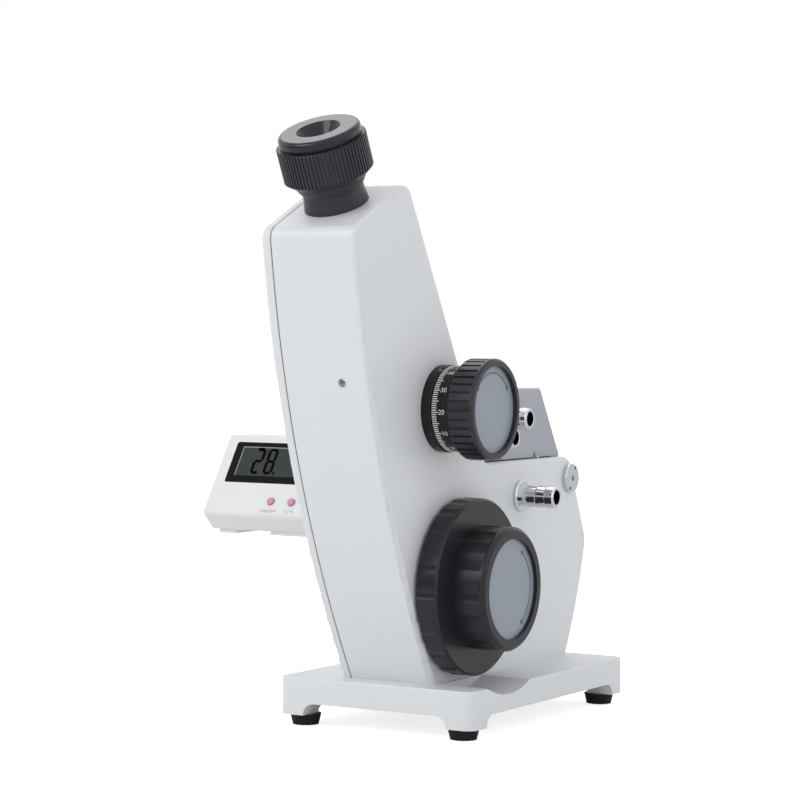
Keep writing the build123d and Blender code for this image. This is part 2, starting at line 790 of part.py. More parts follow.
# the lens barrel slides in the tube, and the knurled ring turns on the barrel's head
barrel_head = eye_spigot_top + 0.4
with BuildPart() as eye_lens_barrel:
    add(turned_up([
        (7.6, eye_cell_bottom), (eye_tube_bore - running, eye_cell_bottom),
        (eye_tube_bore - running, barrel_head), (eye_spigot_radius, barrel_head),
        (eye_spigot_radius, barrel_head + 2.4), (6.4, barrel_head + 2.4), (6.4, barrel_head + 1.2),
        (7.6, barrel_head + 1.2),
    ], eyepiece))
finish(eye_lens_barrel, "eye_lens_barrel")

with BuildPart() as eyepiece_lenses:
    add(turned_up([(0, eye_cell_bottom), (7.6, eye_cell_bottom), (7.6, eye_cell_bottom + 2.2),
                   (4.0, eye_cell_bottom + 3.2), (0, eye_cell_bottom + 3.6)], eyepiece))
    add(turned_up([(0, barrel_head - 3.6), (4.0, barrel_head - 3.2), (7.6, barrel_head - 2.0),
                   (7.6, barrel_head + 1.2), (0, barrel_head + 1.2)], eyepiece))
finish(eyepiece_lenses, "eyepiece_lenses")

with BuildPart() as diopter_ring:
    inner = eye_spigot_radius + running
    add(turned_up([
        (inner, eye_collar), (ring_neck_radius, eye_collar), (cone_top_radius, cone_top),
        (knurl_radius, knurl_bottom), (knurl_radius, knurl_top - 0.3), (knurl_radius - 0.3, knurl_top),
        (inner, knurl_top),
    ], eyepiece))
    with BuildSketch(eyepiece.offset(knurl_bottom)):
        with PolarLocations(knurl_radius, knurl_count):
            Rectangle(2 * knurl_depth, knurl_radius * pi / knurl_count, rotation=0)
    extrude(amount=knurl_top - knurl_bottom, mode=Mode.SUBTRACT)
finish(diopter_ring, "diopter_ring")

with BuildPart() as eye_cap:
    cap_bottom = knurl_top
    dish_floor = eye_cap_top - eye_dish_depth
    add(turned_up([
        (eye_hole_radius, barrel_head + 2.4), (inner, barrel_head + 2.4), (inner, cap_bottom),
        (eye_cap_radius - eye_cap_groove, cap_bottom),
        (eye_cap_radius - eye_cap_groove, cap_bottom + 0.9), (eye_cap_radius, cap_bottom + 1.3),
        (eye_cap_radius, eye_cap_top), (eye_dish_radius, eye_cap_top), (eye_hole_radius, dish_floor),
    ], eyepiece))
    cap_face = eye_cap.faces().sort_by(Axis((0, 0, 0), tuple(eyepiece.z_dir)))[-1]
    fillet(cap_face.edges().sort_by(SortBy.RADIUS)[-1], eye_cap_round)
finish(eye_cap, "eye_cap")

# fixed glass: objective, graticule, reading lens and reading prism
with BuildPart() as fixed_optics:
    objective_s = lower_web_s + web_thick
    add(turned_up([(0, 0), (barrel_bore, 0), (barrel_bore, 3.0), (5.0, 4.0), (0, 4.3)],
                  on_telescope(objective_s)))
    with BuildSketch(on_telescope(carrier_s + carrier_thick - 2.0, eye_offset)):
        Circle(eye_tube_bore)
    extrude(amount=2.0)
    add(turned_up([(0, 0), (read_tube_bore, 0), (read_tube_bore, 2.0), (2.4, 2.6), (0, 2.8)],
                  on_telescope(12.0, read_y, read_x)))
    prism_leg = 2 * read_tube_radius - 2.0
    prism_side = on_telescope(read_bottom_s - prism_leg, read_y - prism_leg / 2, read_x).rotated((90, 0, 0))
    with BuildSketch(prism_side):
        with BuildLine():
            Polyline((-prism_leg / 2, 0), (-prism_leg / 2, prism_leg), (prism_leg / 2, prism_leg), close=True)
        make_face()
    extrude(amount=-prism_leg)
finish(fixed_optics, "fixed_optics")

with BuildPart() as reading_tube:
    add(turned_up([(read_tube_bore, read_bottom_s), (read_tube_radius, read_bottom_s),
                   (read_tube_radius, carrier_s), (read_tube_bore, carrier_s)],
                  on_telescope(0, read_y, read_x)))
finish(reading_tube, "reading_tube")

# ---------------------------------------------------------------- dispersion compensator
cone_far = bevel_pitch_radius
cone_near = bevel_pitch_radius - bevel_face
tooth_pitch = 2 * pi * bevel_pitch_radius / bevel_teeth
tooth_half = (tooth_pitch - 2 * gear_backlash) / 4
tooth_rise = 0.5
tooth_fall = 0.75
tooth_foot = tooth_fall + 0.4   # sunk into the gear's body
flank = tan(radians(25))


def bevel_teeth_ring(place, phase):
    """Straight bevel teeth on a 45 degree cone that opens along the plane's z from its origin."""
    with BuildPart() as ring:
        for index in range(bevel_teeth):
            turn = phase + 360 / bevel_teeth * index
            for reach in (cone_near, cone_far):
                shrink = reach / cone_far
                section = Plane((reach, 0, reach), x_dir=(0, 1, 0), z_dir=(1, 0, 1))
                with BuildSketch(Plane(Rot(0, 0, turn) * section.location)):
                    with BuildLine():
                        Polyline(
                            (-(tooth_half - tooth_rise * flank) * shrink, -tooth_rise * shrink),
                            ((tooth_half - tooth_rise * flank) * shrink, -tooth_rise * shrink),
                            ((tooth_half + tooth_foot * flank) * shrink, tooth_foot * shrink),
                            (-(tooth_half + tooth_foot * flank) * shrink, tooth_foot * shrink),
                            close=True,
                        )
                    make_face()
            loft()
    return place.location * ring.part


root_step = tooth_fall * sqrt(2)
pinion_place = Plane(telescope.origin, x_dir=telescope.z_dir, z_dir=(1, 0, 0))
lower_place = Plane(telescope.origin, x_dir=(1, 0, 0), z_dir=-telescope.z_dir)
mount_radius = barrel_bore - running
mount_foot = bevel_pitch_radius + root_step + 0.4
mount_end = bevel_pitch_radius + mount_length
gear_shoulder = bevel_pitch_radius + 0.4
amici_foot = mount_foot + 2.0
amici_length = mount_end - mount_foot - 3.0
amici_places = {"upper": telescope, "lower": lower_place}

for level, place in amici_places.items():
    with BuildPart() as amici_mount:
        add(turned_up([
            (mount_bore, mount_bore + root_step), (gear_shoulder, gear_shoulder + root_step),
            (mount_radius, gear_shoulder + root_step), (mount_radius, mount_end),
            (mount_bore, mount_end),
        ], place))
        add(bevel_teeth_ring(place, 180 / bevel_teeth))
    finish(amici_mount, f"{level}_amici_mount")

    with BuildPart() as amici_prism:
        with BuildSketch(Plane(place.from_local_coords((0, 0, amici_foot)), place.x_dir, place.z_dir)):
            Rectangle(amici_side, amici_side)
        extrude(amount=amici_length)
    finish(amici_prism, f"{level}_amici_prism")

with BuildPart() as dispersion_pinion:
    add(turned_up([
        (knob_shaft_radius, mount_bore + root_step), (mount_bore, mount_bore + root_step),
        (gear_shoulder, gear_shoulder + root_step), (gear_shoulder, gear_shoulder + root_step + 1.2),
        (knob_shaft_radius, gear_shoulder + root_step + 1.2),
    ], pinion_place))
    add(bevel_teeth_ring(pinion_place, 0))
finish(dispersion_pinion, "dispersion_pinion")

# ---------------------------------------------------------------- dispersion knob
knob_back = housing_right + index_ring_width + knob_gap
knob_floor = knob_front - knob_plate_recess
scale_ring_inner = scale_ring_radius - scale_ring_wall

with BuildPart() as dispersion_shaft:
    shaft_start = optical_x + mount_bore + root_step
    add(turned([(shaft_start, 0), (shaft_start, knob_shaft_radius), (knob_floor, knob_shaft_radius),
                (knob_floor, 0)], knob_y, knob_z))
finish(dispersion_shaft, "dispersion_shaft")

with BuildPart() as index_ring:
    index_front = housing_right + index_ring_width
    add(turned([(housing_right, knob_bush_radius + 1.9), (housing_right, index_ring_radius),
                (index_front - 0.4, index_ring_radius), (index_front, index_ring_radius - 0.4),
                (index_front, knob_bush_radius + 1.9)], knob_y, knob_z))
    # index line, read from above and in front
    with Locations(Location((index_front, knob_y, knob_z), (-index_angle, 0, 0))):
        with Locations((0, -index_ring_radius, 0)):
            Box(2.6, 0.5, 0.5, mode=Mode.SUBTRACT)
finish(index_ring, "index_ring")

with BuildPart() as scale_ring:
    add(turned([(knob_back, scale_ring_inner), (knob_back, scale_ring_radius - 0.3),
                (knob_back + 0.3, scale_ring_radius), (scale_ring_front, scale_ring_radius),
                (scale_ring_front, scale_ring_inner)], knob_y, knob_z))
finish(scale_ring, "scale_ring")

with BuildPart() as dispersion_knob:
    add(turned([
        (knob_back, knob_shaft_radius), (knob_back, scale_ring_inner),
        (scale_ring_front, scale_ring_inner), (scale_ring_front, knob_radius - 0.6),
        (scale_ring_front + 0.6, knob_radius), (knob_front - 0.8, knob_radius),
        (knob_front, knob_radius - 0.8), (knob_front, knob_plate_radius),
        (knob_floor, knob_plate_radius), (knob_floor, knob_shaft_radius),
    ], knob_y, knob_z))
    with BuildSketch(side_at(scale_ring_front, knob_y, knob_z)):
        with PolarLocations(knob_radius, knob_ribs):
            Rectangle(2 * knob_rib_depth, knob_rib_groove)
    extrude(amount=knob_front - scale_ring_front - 1.6, mode=Mode.SUBTRACT)
finish(dispersion_knob, "dispersion_knob")

with BuildPart() as dispersion_face_plate:
    with BuildSketch(side_at(knob_floor, knob_y, knob_z)):
        Circle(knob_plate_radius - 0.05)
    extrude(amount=plate_thick)
finish(dispersion_face_plate, "dispersion_face_plate")

# ---------------------------------------------------------------- handwheel
wheel_floor = grip_front - wheel_plate_recess
wheel_hub = wheel_shaft_radius + 4.0
flange_wall = 2.8

with BuildPart() as handwheel:
    add(turned([
        (wheel_back, flange_radius - flange_wall), (wheel_back, flange_radius - 0.6),
        (wheel_back + 0.6, flange_radius), (flange_front - 0.8, flange_radius),
        (flange_front, flange_radius - 0.8), (flange_front, grip_radius),
        (grip_front - grip_rim, grip_radius), (grip_front - 0.4 * grip_rim, grip_radius - 0.4 * grip_rim),
        (grip_front, grip_radius - grip_rim),
        (grip_front, wheel_plate_radius), (wheel_floor, wheel_plate_radius),
        (wheel_floor, wheel_shaft_radius), (wheel_back + 1.4, wheel_shaft_radius),
        (wheel_back + 1.4, wheel_hub), (wheel_floor - 2.0, wheel_hub),
        (wheel_floor - 2.0, grip_radius - flange_wall),
        (flange_front - flange_wall, grip_radius - flange_wall),
        (flange_front - flange_wall, flange_radius - flange_wall),
    ], wheel_y, wheel_z))
    with BuildSketch(side_at(wheel_back, wheel_y, wheel_z)):
        with PolarLocations(flange_radius + flange_scallop_radius - flange_scallop_depth, flange_scallops):
            Circle(flange_scallop_radius)
    extrude(amount=flange_front - wheel_back - 1.2, mode=Mode.SUBTRACT)
    with BuildSketch(side_at(flange_front, wheel_y, wheel_z)):
        with PolarLocations(grip_radius + scallop_radius - scallop_depth, grip_scallops):
            Circle(scallop_radius)
    extrude(amount=grip_front - flange_front - grip_rim - 0.8, mode=Mode.SUBTRACT)
finish(handwheel, "handwheel")

with BuildPart() as handwheel_face_plate:
    with BuildSketch(side_at(wheel_floor, wheel_y, wheel_z)):
        Circle(wheel_plate_radius - 0.05)
    extrude(amount=plate_thick)
finish(handwheel_face_plate, "handwheel_face_plate")

pinion_x = arm_x - 0.4
pinion_width = arm_thick + 0.8
journal_end = cover_left + 1.8
with BuildPart() as handwheel_shaft:
    add(turned([
        (journal_end, 0), (journal_end, wheel_journal_radius),
        (pinion_x + pinion_width, wheel_journal_radius), (pinion_x + pinion_width, wheel_shaft_radius),
        (wheel_floor, wheel_shaft_radius), (wheel_floor, 0),
    ], wheel_y, wheel_z))
finish(handwheel_shaft, "handwheel_shaft")

with BuildPart() as shaft_bushes:
    for bore, shell, rim, depth, proud, y, z in (
        (knob_shaft_radius, knob_bush_radius, 1.8, 3.5, knob_bush_flange, knob_y, knob_z),
        (wheel_shaft_radius, wheel_bush_radius, 2.5, 3.0, wheel_bush_flange, wheel_y, wheel_z),
    ):
        add(turned([(inner_right - depth, bore + running), (inner_right - depth, shell),
                    (housing_right, shell), (housing_right, shell + rim), (housing_right + proud, shell + rim),
                    (housing_right + proud, bore + running)], y, z))
finish(shaft_bushes, "shaft_bushes")

# ---------------------------------------------------------------- drive: pinion, arm, mirror, scale
pressure_angle = 25.0
addendum = 0.85 * gear_module
dedendum = 1.2 * gear_module


def involute(angle):
    """The involute function of a pressure angle in radians."""
    return tan(angle) - angle


def tooth_outline(teeth, middle):
    """Corner points of one spur tooth that points along an angle in degrees."""
    pitch = gear_module * teeth / 2
    base = pitch * cos(radians(pressure_angle))
    half = (pi * gear_module / 2 - gear_backlash) / 2 / pitch + involute(radians(pressure_angle))
    foot = pitch - dedendum
    start = max(base, foot + 0.05)
    radii = [foot] + [start + (pitch + addendum - start) * step / 4 for step in range(5)]
    flank_points = []
    for radius in radii:
        lean = half - (involute(acos(base / radius)) if radius > base else 0)
        flank_points.append((radius, lean))
    turn = radians(middle)
    left = [(r * cos(turn + a), r * sin(turn + a)) for r, a in flank_points]
    right = [(r * cos(turn - a), r * sin(turn - a)) for r, a in reversed(flank_points)]
    return left + right + [((foot - 0.5) * cos(turn), (foot - 0.5) * sin(turn))]


def ring_segment(inner_radius, outer_radius, middle, span):
    """A piece of a flat ring about the sketch's origin; angles in degrees."""
    with BuildSketch() as segment:
        with BuildLine():
            outer_arc = CenterArc((0, 0), outer_radius, middle - span / 2, span)
            inner_arc = CenterArc((0, 0), inner_radius, middle - span / 2, span)
            Line(outer_arc @ 0, inner_arc @ 0)
            Line(outer_arc @ 1, inner_arc @ 1)
        make_face()
    return segment.sketch


with BuildPart() as drive_pinion:
    with BuildSketch(side_at(pinion_x, wheel_y, wheel_z)):
        Circle(pinion_radius - dedendum)
        for index in range(pinion_teeth):
            # a gap faces the arm, where the arm has a tooth
            middle = to_wheel + 180 + (index + 0.5) * 360 / pinion_teeth
            with BuildLine():
                Polyline(*tooth_outline(pinion_teeth, middle), close=True)
            make_face()
        Circle(wheel_journal_radius, mode=Mode.SUBTRACT)
    extrude(amount=pinion_width)
finish(drive_pinion, "drive_pinion")

sector_root = sector_radius - dedendum
sector_pitch = 360 / sector_teeth
sector_count = 2 * int(sector_span / 2 / sector_pitch) + 1
scale_inner = scale_radius - scale_width
hub_radius = trunnion_radius + 3.0

with BuildPart() as sector_arm:
    with BuildSketch(side_at(arm_x, mirror_y, mirror_z)):
        Circle(hub_radius)
        add(ring_segment(sector_root - 4.0, sector_root, to_wheel, sector_count * sector_pitch))
        add(ring_segment(scale_inner - 3.0, scale_inner + 1.5, scale_direction, scale_span))
        with Locations(Rot(0, 0, to_wheel)):
            Rectangle(sector_root - 1.0, 7.0, align=(Align.MIN, Align.CENTER))
        with Locations(Rot(0, 0, scale_direction)):
            Rectangle(scale_inner - 1.0, 7.0, align=(Align.MIN, Align.CENTER))
        for index in range(sector_count):
            middle = to_wheel + (index - sector_count // 2) * sector_pitch
            with BuildLine():
                Polyline(*tooth_outline(sector_teeth, middle), close=True)
            make_face()
        Circle(trunnion_radius, mode=Mode.SUBTRACT)
    extrude(amount=arm_thick)
finish(sector_arm, "sector_arm")

with BuildPart() as scale_plate:
    with BuildSketch(side_at(arm_x + arm_thick, mirror_y, mirror_z)):
        add(ring_segment(scale_inner, scale_radius, scale_direction, scale_span))
    extrude(amount=1.4)
finish(scale_plate, "scale_plate")

# the mirror turns light from the prism up the telescope; its silvered face holds the pivot axis
light_in = Vector(0, -cos(radians(prism_exit_tilt)), -sin(radians(prism_exit_tilt)))
mirror_normal = (Vector(telescope.z_dir) - light_in).normalized()
mirror_place = Plane((optical_x, mirror_y, mirror_z), x_dir=(1, 0, 0), z_dir=mirror_normal)
cheek = 2.0

with BuildPart() as rotating_mirror:
    with BuildSketch(mirror_place.offset(-mirror_thick)):
        Rectangle(mirror_width, mirror_length)
    extrude(amount=mirror_thick)
finish(rotating_mirror, "rotating_mirror")

with BuildPart() as mirror_holder:
    with BuildSketch(mirror_place.offset(-mirror_thick - 2.5)):
        Rectangle(mirror_width + 2 * cheek, mirror_length)
    extrude(amount=2.5)
    for end in (-1, 1):
        cheek_x = optical_x + end * (mirror_width / 2 + cheek / 2)
        with BuildSketch(side_at(cheek_x - cheek / 2, mirror_y, mirror_z)):
            Circle(trunnion_radius + 2.0)
        extrude(amount=cheek)
    for x_from, x_to in (
        (journal_end, optical_x - mirror_width / 2 - cheek / 2),
        (optical_x + mirror_width / 2 + cheek / 2, inner_right + 0.5),
    ):
        with BuildSketch(side_at(x_from, mirror_y, mirror_z)):
            Circle(trunnion_radius)
        extrude(amount=x_to - x_from)
finish(mirror_holder, "mirror_holder")

# ---------------------------------------------------------------- lower prism and its seat
latch_z = seat_top - latch_radius - 0.1
hook_inner = lock_z - latch_z + latch_radius + 0.15
hook_outer = hook_inner + hook_width
hook_slot = (hook_x - 0.4, hook_x + hook_thick + 0.4)
hook_slot_front = lock_y - 5.5
hook_slot_rear = lock_y + hook_outer + 0.4
prism_foot = (prism_front + prism_depth * tan(radians(prism_exit_tilt)), prism_top - prism_depth)
prism_left = optical_x - prism_half_width
prism_outline = [(prism_front, prism_top), (prism_rear, prism_top), prism_foot]
# the prism's back face carried on up, past the top of the seat
over = 4.0
lean = (prism_rear - prism_foot[0]) / prism_depth
pocket_outline = [(seat_front - 1, prism_top + over), (prism_rear + over * lean, prism_top + over), prism_foot,
                  (seat_front - 1, prism_foot[1] - 1.5)]

with BuildPart() as prism_seat:
    with BuildSketch(side(seat_left)):
        with Locations(((seat_front + seat_rear) / 2, (seat_bottom + seat_top) / 2)):
            Rectangle(seat_rear - seat_front, seat_top - seat_bottom)
    extrude(amount=seat_right - seat_left)
    chamfer(prism_seat.edges().filter_by(Axis.Z), 0.8)
    # pocket for the prism, open towards the mirror
    with BuildSketch(side(prism_left)):
        with BuildLine():
            Polyline(*pocket_outline, close=True)
        make_face()
    extrude(amount=2 * prism_half_width, mode=Mode.SUBTRACT)
    # slot for the lock's hook, crossed by the latch bar
    with BuildSketch(side(hook_slot[0])):
        with Locations((hook_slot_front, lock_z - hook_outer - 0.6)):
            Rectangle(hook_slot_rear - hook_slot_front, seat_top, align=(Align.MIN, Align.MIN))
    extrude(amount=hook_slot[1] - hook_slot[0], mode=Mode.SUBTRACT)
    with BuildSketch(side_at(seat_left + 0.3, lock_y, latch_z)):
        Circle(latch_radius)
    extrude(amount=prism_left - 0.2 - seat_left - 0.3)
    # water ways for the two lower nipples, and the probe's bore
    for x_from, x_to, y, z, radius in (
        (seat_right - 5.0, seat_right + 1, lower_nipple_y, lower_nipple_z, nipple_shank_radius),
        (seat_left - 1, seat_left + 5.0, left_nipple_y, lower_nipple_z, nipple_shank_radius),
        (seat_left - 1, probe_tip_x, probe_y, probe_z, probe_radius),
    ):
        with BuildSketch(side_at(x_from, y, z)):
            Circle(radius)
        extrude(amount=x_to - x_from, mode=Mode.SUBTRACT)
finish(prism_seat, "prism_seat")

with BuildPart() as refracting_prism:
    with BuildSketch(side(prism_left)):
        with BuildLine():
            Polyline(*prism_outline, close=True)
        make_face()
    extrude(amount=2 * prism_half_width)
finish(refracting_prism, "refracting_prism")


def nipple(x, y, z, way, shank, length):
    """A hose nipple on a face at x, pointing along X; way is 1 or -1."""
    pitch = (length - nipple_flange - 2.4) / nipple_barbs
    outline = [(-shank, nipple_bore), (-shank, nipple_shank_radius), (0, nipple_shank_radius),
               (0, nipple_flange_radius), (nipple_flange - 0.5, nipple_flange_radius),
               (nipple_flange, nipple_flange_radius - 0.5), (nipple_flange, nipple_root_radius)]
    for index in range(nipple_barbs):
        start = nipple_flange + 2.4 + index * pitch
        outline += [(start, nipple_root_radius), (start + 0.3, nipple_barb_radius),
                    (start + 0.7, nipple_barb_radius)]
    # the nose is a plain ring with its corners taken off
    nose_radius = nipple_barb_radius - 0.3
    outline += [(length - nipple_nose, nose_radius), (length, nose_radius - nipple_nose),
                (length, nipple_bore + 0.2), (length - 0.2, nipple_bore)]
    return turned([(x + way * along, radius) for along, radius in outline], y, z)


with BuildPart() as lower_nipples:
    add(nipple(housing_right, lower_nipple_y, lower_nipple_z, 1,
               housing_right - seat_right + 4.5, nipple_length))
    add(nipple(cover_left, left_nipple_y, lower_nipple_z, -1, seat_left - cover_left + 4.5, nipple_length))
finish(lower_nipples, "lower_nipples")

with BuildPart() as hinge_pin:
    with BuildSketch(side_at(cover_left, hinge_y, hinge_z)):
        Circle(hinge_pin_radius)
    extrude(amount=housing_right - cover_left)
finish(hinge_pin, "hinge_pin")

with BuildPart() as hinge_caps:
    for x, way in ((housing_right, 1), (cover_left, -1)):
        front = x + way * hinge_cap_thick
        add(turned([(x, 0), (x, hinge_cap_radius), (front - way * 0.4, hinge_cap_radius),
                    (front, hinge_cap_radius - 0.4), (front, 0)], hinge_y, hinge_z))
        with BuildSketch(side_at(front, hinge_y, hinge_z)):
            with PolarLocations(cap_hole_pitch, 2, start_angle=cap_hole_angle):
                Circle(cap_hole_radius)
            Circle(1.2)
        extrude(amount=-way * 1.0, mode=Mode.SUBTRACT)
finish(hinge_caps, "hinge_caps")

# ---------------------------------------------------------------- upper prism and its holder
holder_outline = [(holder_front_y, holder_bottom), holder_nose, (holder_top_front_y, holder_top),
                  (holder_top_rear_y, holder_top), (holder_rear_y, holder_bottom)]
rear_slant = Vector(0, holder_rear_y - holder_top_rear_y, holder_bottom - holder_top).normalized()
rear_normal = Vector(0, -rear_slant.Z, rear_slant.Y)
shade_top = Vector(optical_x, holder_top_rear_y, holder_top) + rear_slant * shade_start
shade_place = Plane(shade_top, x_dir=(1, 0, 0), z_dir=rear_normal)
upper_film = prism_top + film_gap
upper_prism_outline = [
    (prism_front, upper_film), (prism_entry_y, upper_film),
    (prism_entry_y - prism_entry_length * rear_slant.Y, upper_film - prism_entry_length * rear_slant.Z),
]
lug_places = [optical_x + end * (lug_centre) - hinge_lug_width / 2 for end in (-1, 1)]

with BuildPart() as illuminating_prism_holder:
    with BuildSketch(side(holder_left)):
        with BuildLine():
            Polyline(*holder_outline, close=True)
        make_face()
    extrude(amount=holder_right - holder_left)
    fillet([edge for edge in illuminating_prism_holder.edges()
            if edge.center().Z > holder_bottom + 0.1], holder_edge_round)
    # hinge lugs
    for x in lug_places:
        with BuildSketch(side_at(x, hinge_y, hinge_z)):
            Circle(hinge_lug_radius)
            with Locations(((holder_rear_y - hinge_y - hinge_lug_radius) / 2, (holder_bottom + 2 - hinge_z) / 2)):
                Rectangle(hinge_lug_radius + holder_rear_y - hinge_y, holder_bottom + 2 - hinge_z)
        extrude(amount=hinge_lug_width)
    with BuildSketch(side_at(holder_left - 1, hinge_y, hinge_z)):
        Circle(hinge_pin_radius + running)
    extrude(amount=holder_right - holder_left + 2, mode=Mode.SUBTRACT)
    # pocket for the prism, and the light opening behind the shade
    with BuildSketch(side(prism_left)):
        with BuildLine():
            Polyline(*upper_prism_outline, close=True)
        make_face()
    extrude(amount=2 * prism_half_width, mode=Mode.SUBTRACT)
    gate_depth = (holder_rear_y - prism_entry_y) * rear_normal.Y + (holder_bottom - upper_film) * rear_normal.Z
    with BuildSketch(shade_place.offset(-gate_depth)):
        with Locations((0, shade_length / 2)):
            Rectangle(light_gate_width, light_gate_length)
    extrude(amount=gate_depth, mode=Mode.SUBTRACT)
    add(flap_room(shade_place, shade_width, shade_length, shade_thick), mode=Mode.SUBTRACT)
    # slot for the hook, and the bore of its shaft
    with BuildSketch(side(hook_slot[0])):
        with Locations((hook_slot_front, holder_bottom - 1)):
            Rectangle(hook_slot_rear - hook_slot_front, lock_z + hook_outer + 0.4 - holder_bottom + 1,
                      align=(Align.MIN, Align.MIN))
    extrude(amount=hook_slot[1] - hook_slot[0], mode=Mode.SUBTRACT)
    with BuildSketch(side_at(holder_left - 1, lock_y, lock_z)):
        Circle(lock_shaft_radius + running)
    extrude(amount=lock_shaft_end + 0.3 - holder_left + 1, mode=Mode.SUBTRACT)
    # water ways for the two upper nipples
    with BuildSketch(side(holder_right + 1)):
        with Locations(upper_nipple_a, upper_nipple_b):
            Circle(nipple_shank_radius)
    extrude(amount=-6.0, mode=Mode.SUBTRACT)
    # end of a locating dowel
    with BuildSketch(side_at(holder_right - 1, dowel_y, holder_bottom + dowel_radius)):
        Circle(dowel_radius)
    extrude(amount=1 + dowel_proud)
finish(illuminating_prism_holder, "illuminating_prism_holder")

with BuildPart() as illuminating_prism:
    with BuildSketch(side(prism_left)):
        with BuildLine():
            Polyline(*upper_prism_outline, close=True)
        make_face()
    extrude(amount=2 * prism_half_width)
finish(illuminating_prism, "illuminating_prism")

with BuildPart() as upper_nipples:
    for y, z in (upper_nipple_a, upper_nipple_b):
        add(nipple(holder_right, y, z, 1, 4.5, upper_nipple_length))
finish(upper_nipples, "upper_nipples")

with BuildPart() as window_shade:
    add(flap_body(shade_place, shade_width, shade_length, shade_thick))
finish(window_shade, "window_shade")

# lock: the knob turns a hook that catches the latch bar in the lower seat
knob_right = holder_left - lock_gap
with BuildPart() as lock_knob:
    knob_left = knob_right - lock_knob_width
    add(turned([(knob_left, 0), (knob_left, lock_knob_radius - 0.6), (knob_left + 0.6, lock_knob_radius),
                (knob_right - 0.4, lock_knob_radius), (knob_right, lock_knob_radius - 0.4),
                (knob_right, lock_shaft_radius), (lock_shaft_end, lock_shaft_radius),
                (lock_shaft_end, 0)], lock_y, lock_z))
    with BuildSketch(side_at(knob_left, lock_y, lock_z)):
        with PolarLocations(lock_knob_radius, lock_ribs):
            Rectangle(0.8, 0.7)
    extrude(amount=lock_knob_width - 1.5, mode=Mode.SUBTRACT)
finish(lock_knob, "lock_knob")

with BuildPart() as lock_hook:
    with BuildSketch(side_at(hook_x, lock_y, lock_z)):
        Circle(lock_shaft_radius + 2.0)
        add(ring_segment(hook_inner, hook_outer, hook_rest + hook_span / 2, hook_span))
        with Locations(Rot(0, 0, hook_rest + hook_span - 8)):
            Rectangle(hook_inner + hook_width / 2, 3.0, align=(Align.MIN, Align.CENTER))
        Circle(lock_shaft_radius, mode=Mode.SUBTRACT)
    extrude(amount=hook_thick)
finish(lock_hook, "lock_hook")

# ---------------------------------------------------------------- reflector, scale window and its mirror
with BuildPart() as reflector_mirror:
    add(flap_body(reflector_place, reflector_width, reflector_length, reflector_thick))
finish(reflector_mirror, "reflector_mirror")

with BuildPart() as scale_window:
    with BuildSketch(side_at(cover_left, scale_window_y, scale_window_z)):
        Circle(scale_glass_radius)
    extrude(amount=scale_glass_thick)
finish(scale_window, "scale_window")

with BuildPart() as scale_mirror:
    light_x = cover_left - light_hinge_radius
    with BuildSketch(Plane.XY.offset(scale_window_z - light_mirror_size / 2)):
        with Locations((light_x, light_hinge_y)):
            Circle(light_hinge_radius - slack)
            Rectangle(light_mirror_thick, light_mirror_size + light_hinge_radius, align=(Align.CENTER, Align.MIN))
    extrude(amount=light_mirror_size)
    with BuildSketch(Plane.XY.offset(scale_window_z - light_mirror_size / 2 - slack - ear_thick)):
        with Locations((light_x, light_hinge_y)):
            Circle(light_pin_radius)
    extrude(amount=light_mirror_size + 2 * (slack + ear_thick))
finish(scale_mirror, "scale_mirror")

# ---------------------------------------------------------------- digital thermometer
panel_sin = sin(radians(case_panel_tilt))
panel_cos = cos(radians(case_panel_tilt))
panel = Plane((0, case_front_y, case_front_z), x_dir=(1, 0, 0), z_dir=(0, -panel_cos, panel_sin))
case_top = case_front_z + case_panel_length * panel_cos
case_outline = [
    (case_front_y, case_front_z), (case_front_y + case_panel_length * panel_sin, case_top),
    (case_rear_y, case_top), (case_rear_y, case_bottom), (case_lip_y, case_bottom),
]
lcd_centre = ((lcd_left + lcd_right) / 2, (lcd_low + lcd_high) / 2)
lcd_size = (lcd_right - lcd_left, lcd_high - lcd_low)
button_places = {"power_button": (power_button_x, button_up), "unit_button": (unit_button_x, button_up)}
flange_top = case_wall + 0.1
flange_thick = 0.8
switch_top = flange_top + flange_thick + button_travel + 0.1
board_posts = [(x, up) for x in (case_left + case_wall + 3.2, case_right - case_wall - 3.2) for up in (6.0, 34.0)]

with BuildSketch(Plane.XY) as case_profile:
    with BuildLine():
        Polyline(*case_outline, close=True)
    make_face()
    fillet(case_profile.vertices(), case_round)

with BuildSketch(Plane.XY) as case_inside:
    offset(case_profile.sketch, amount=-case_wall)

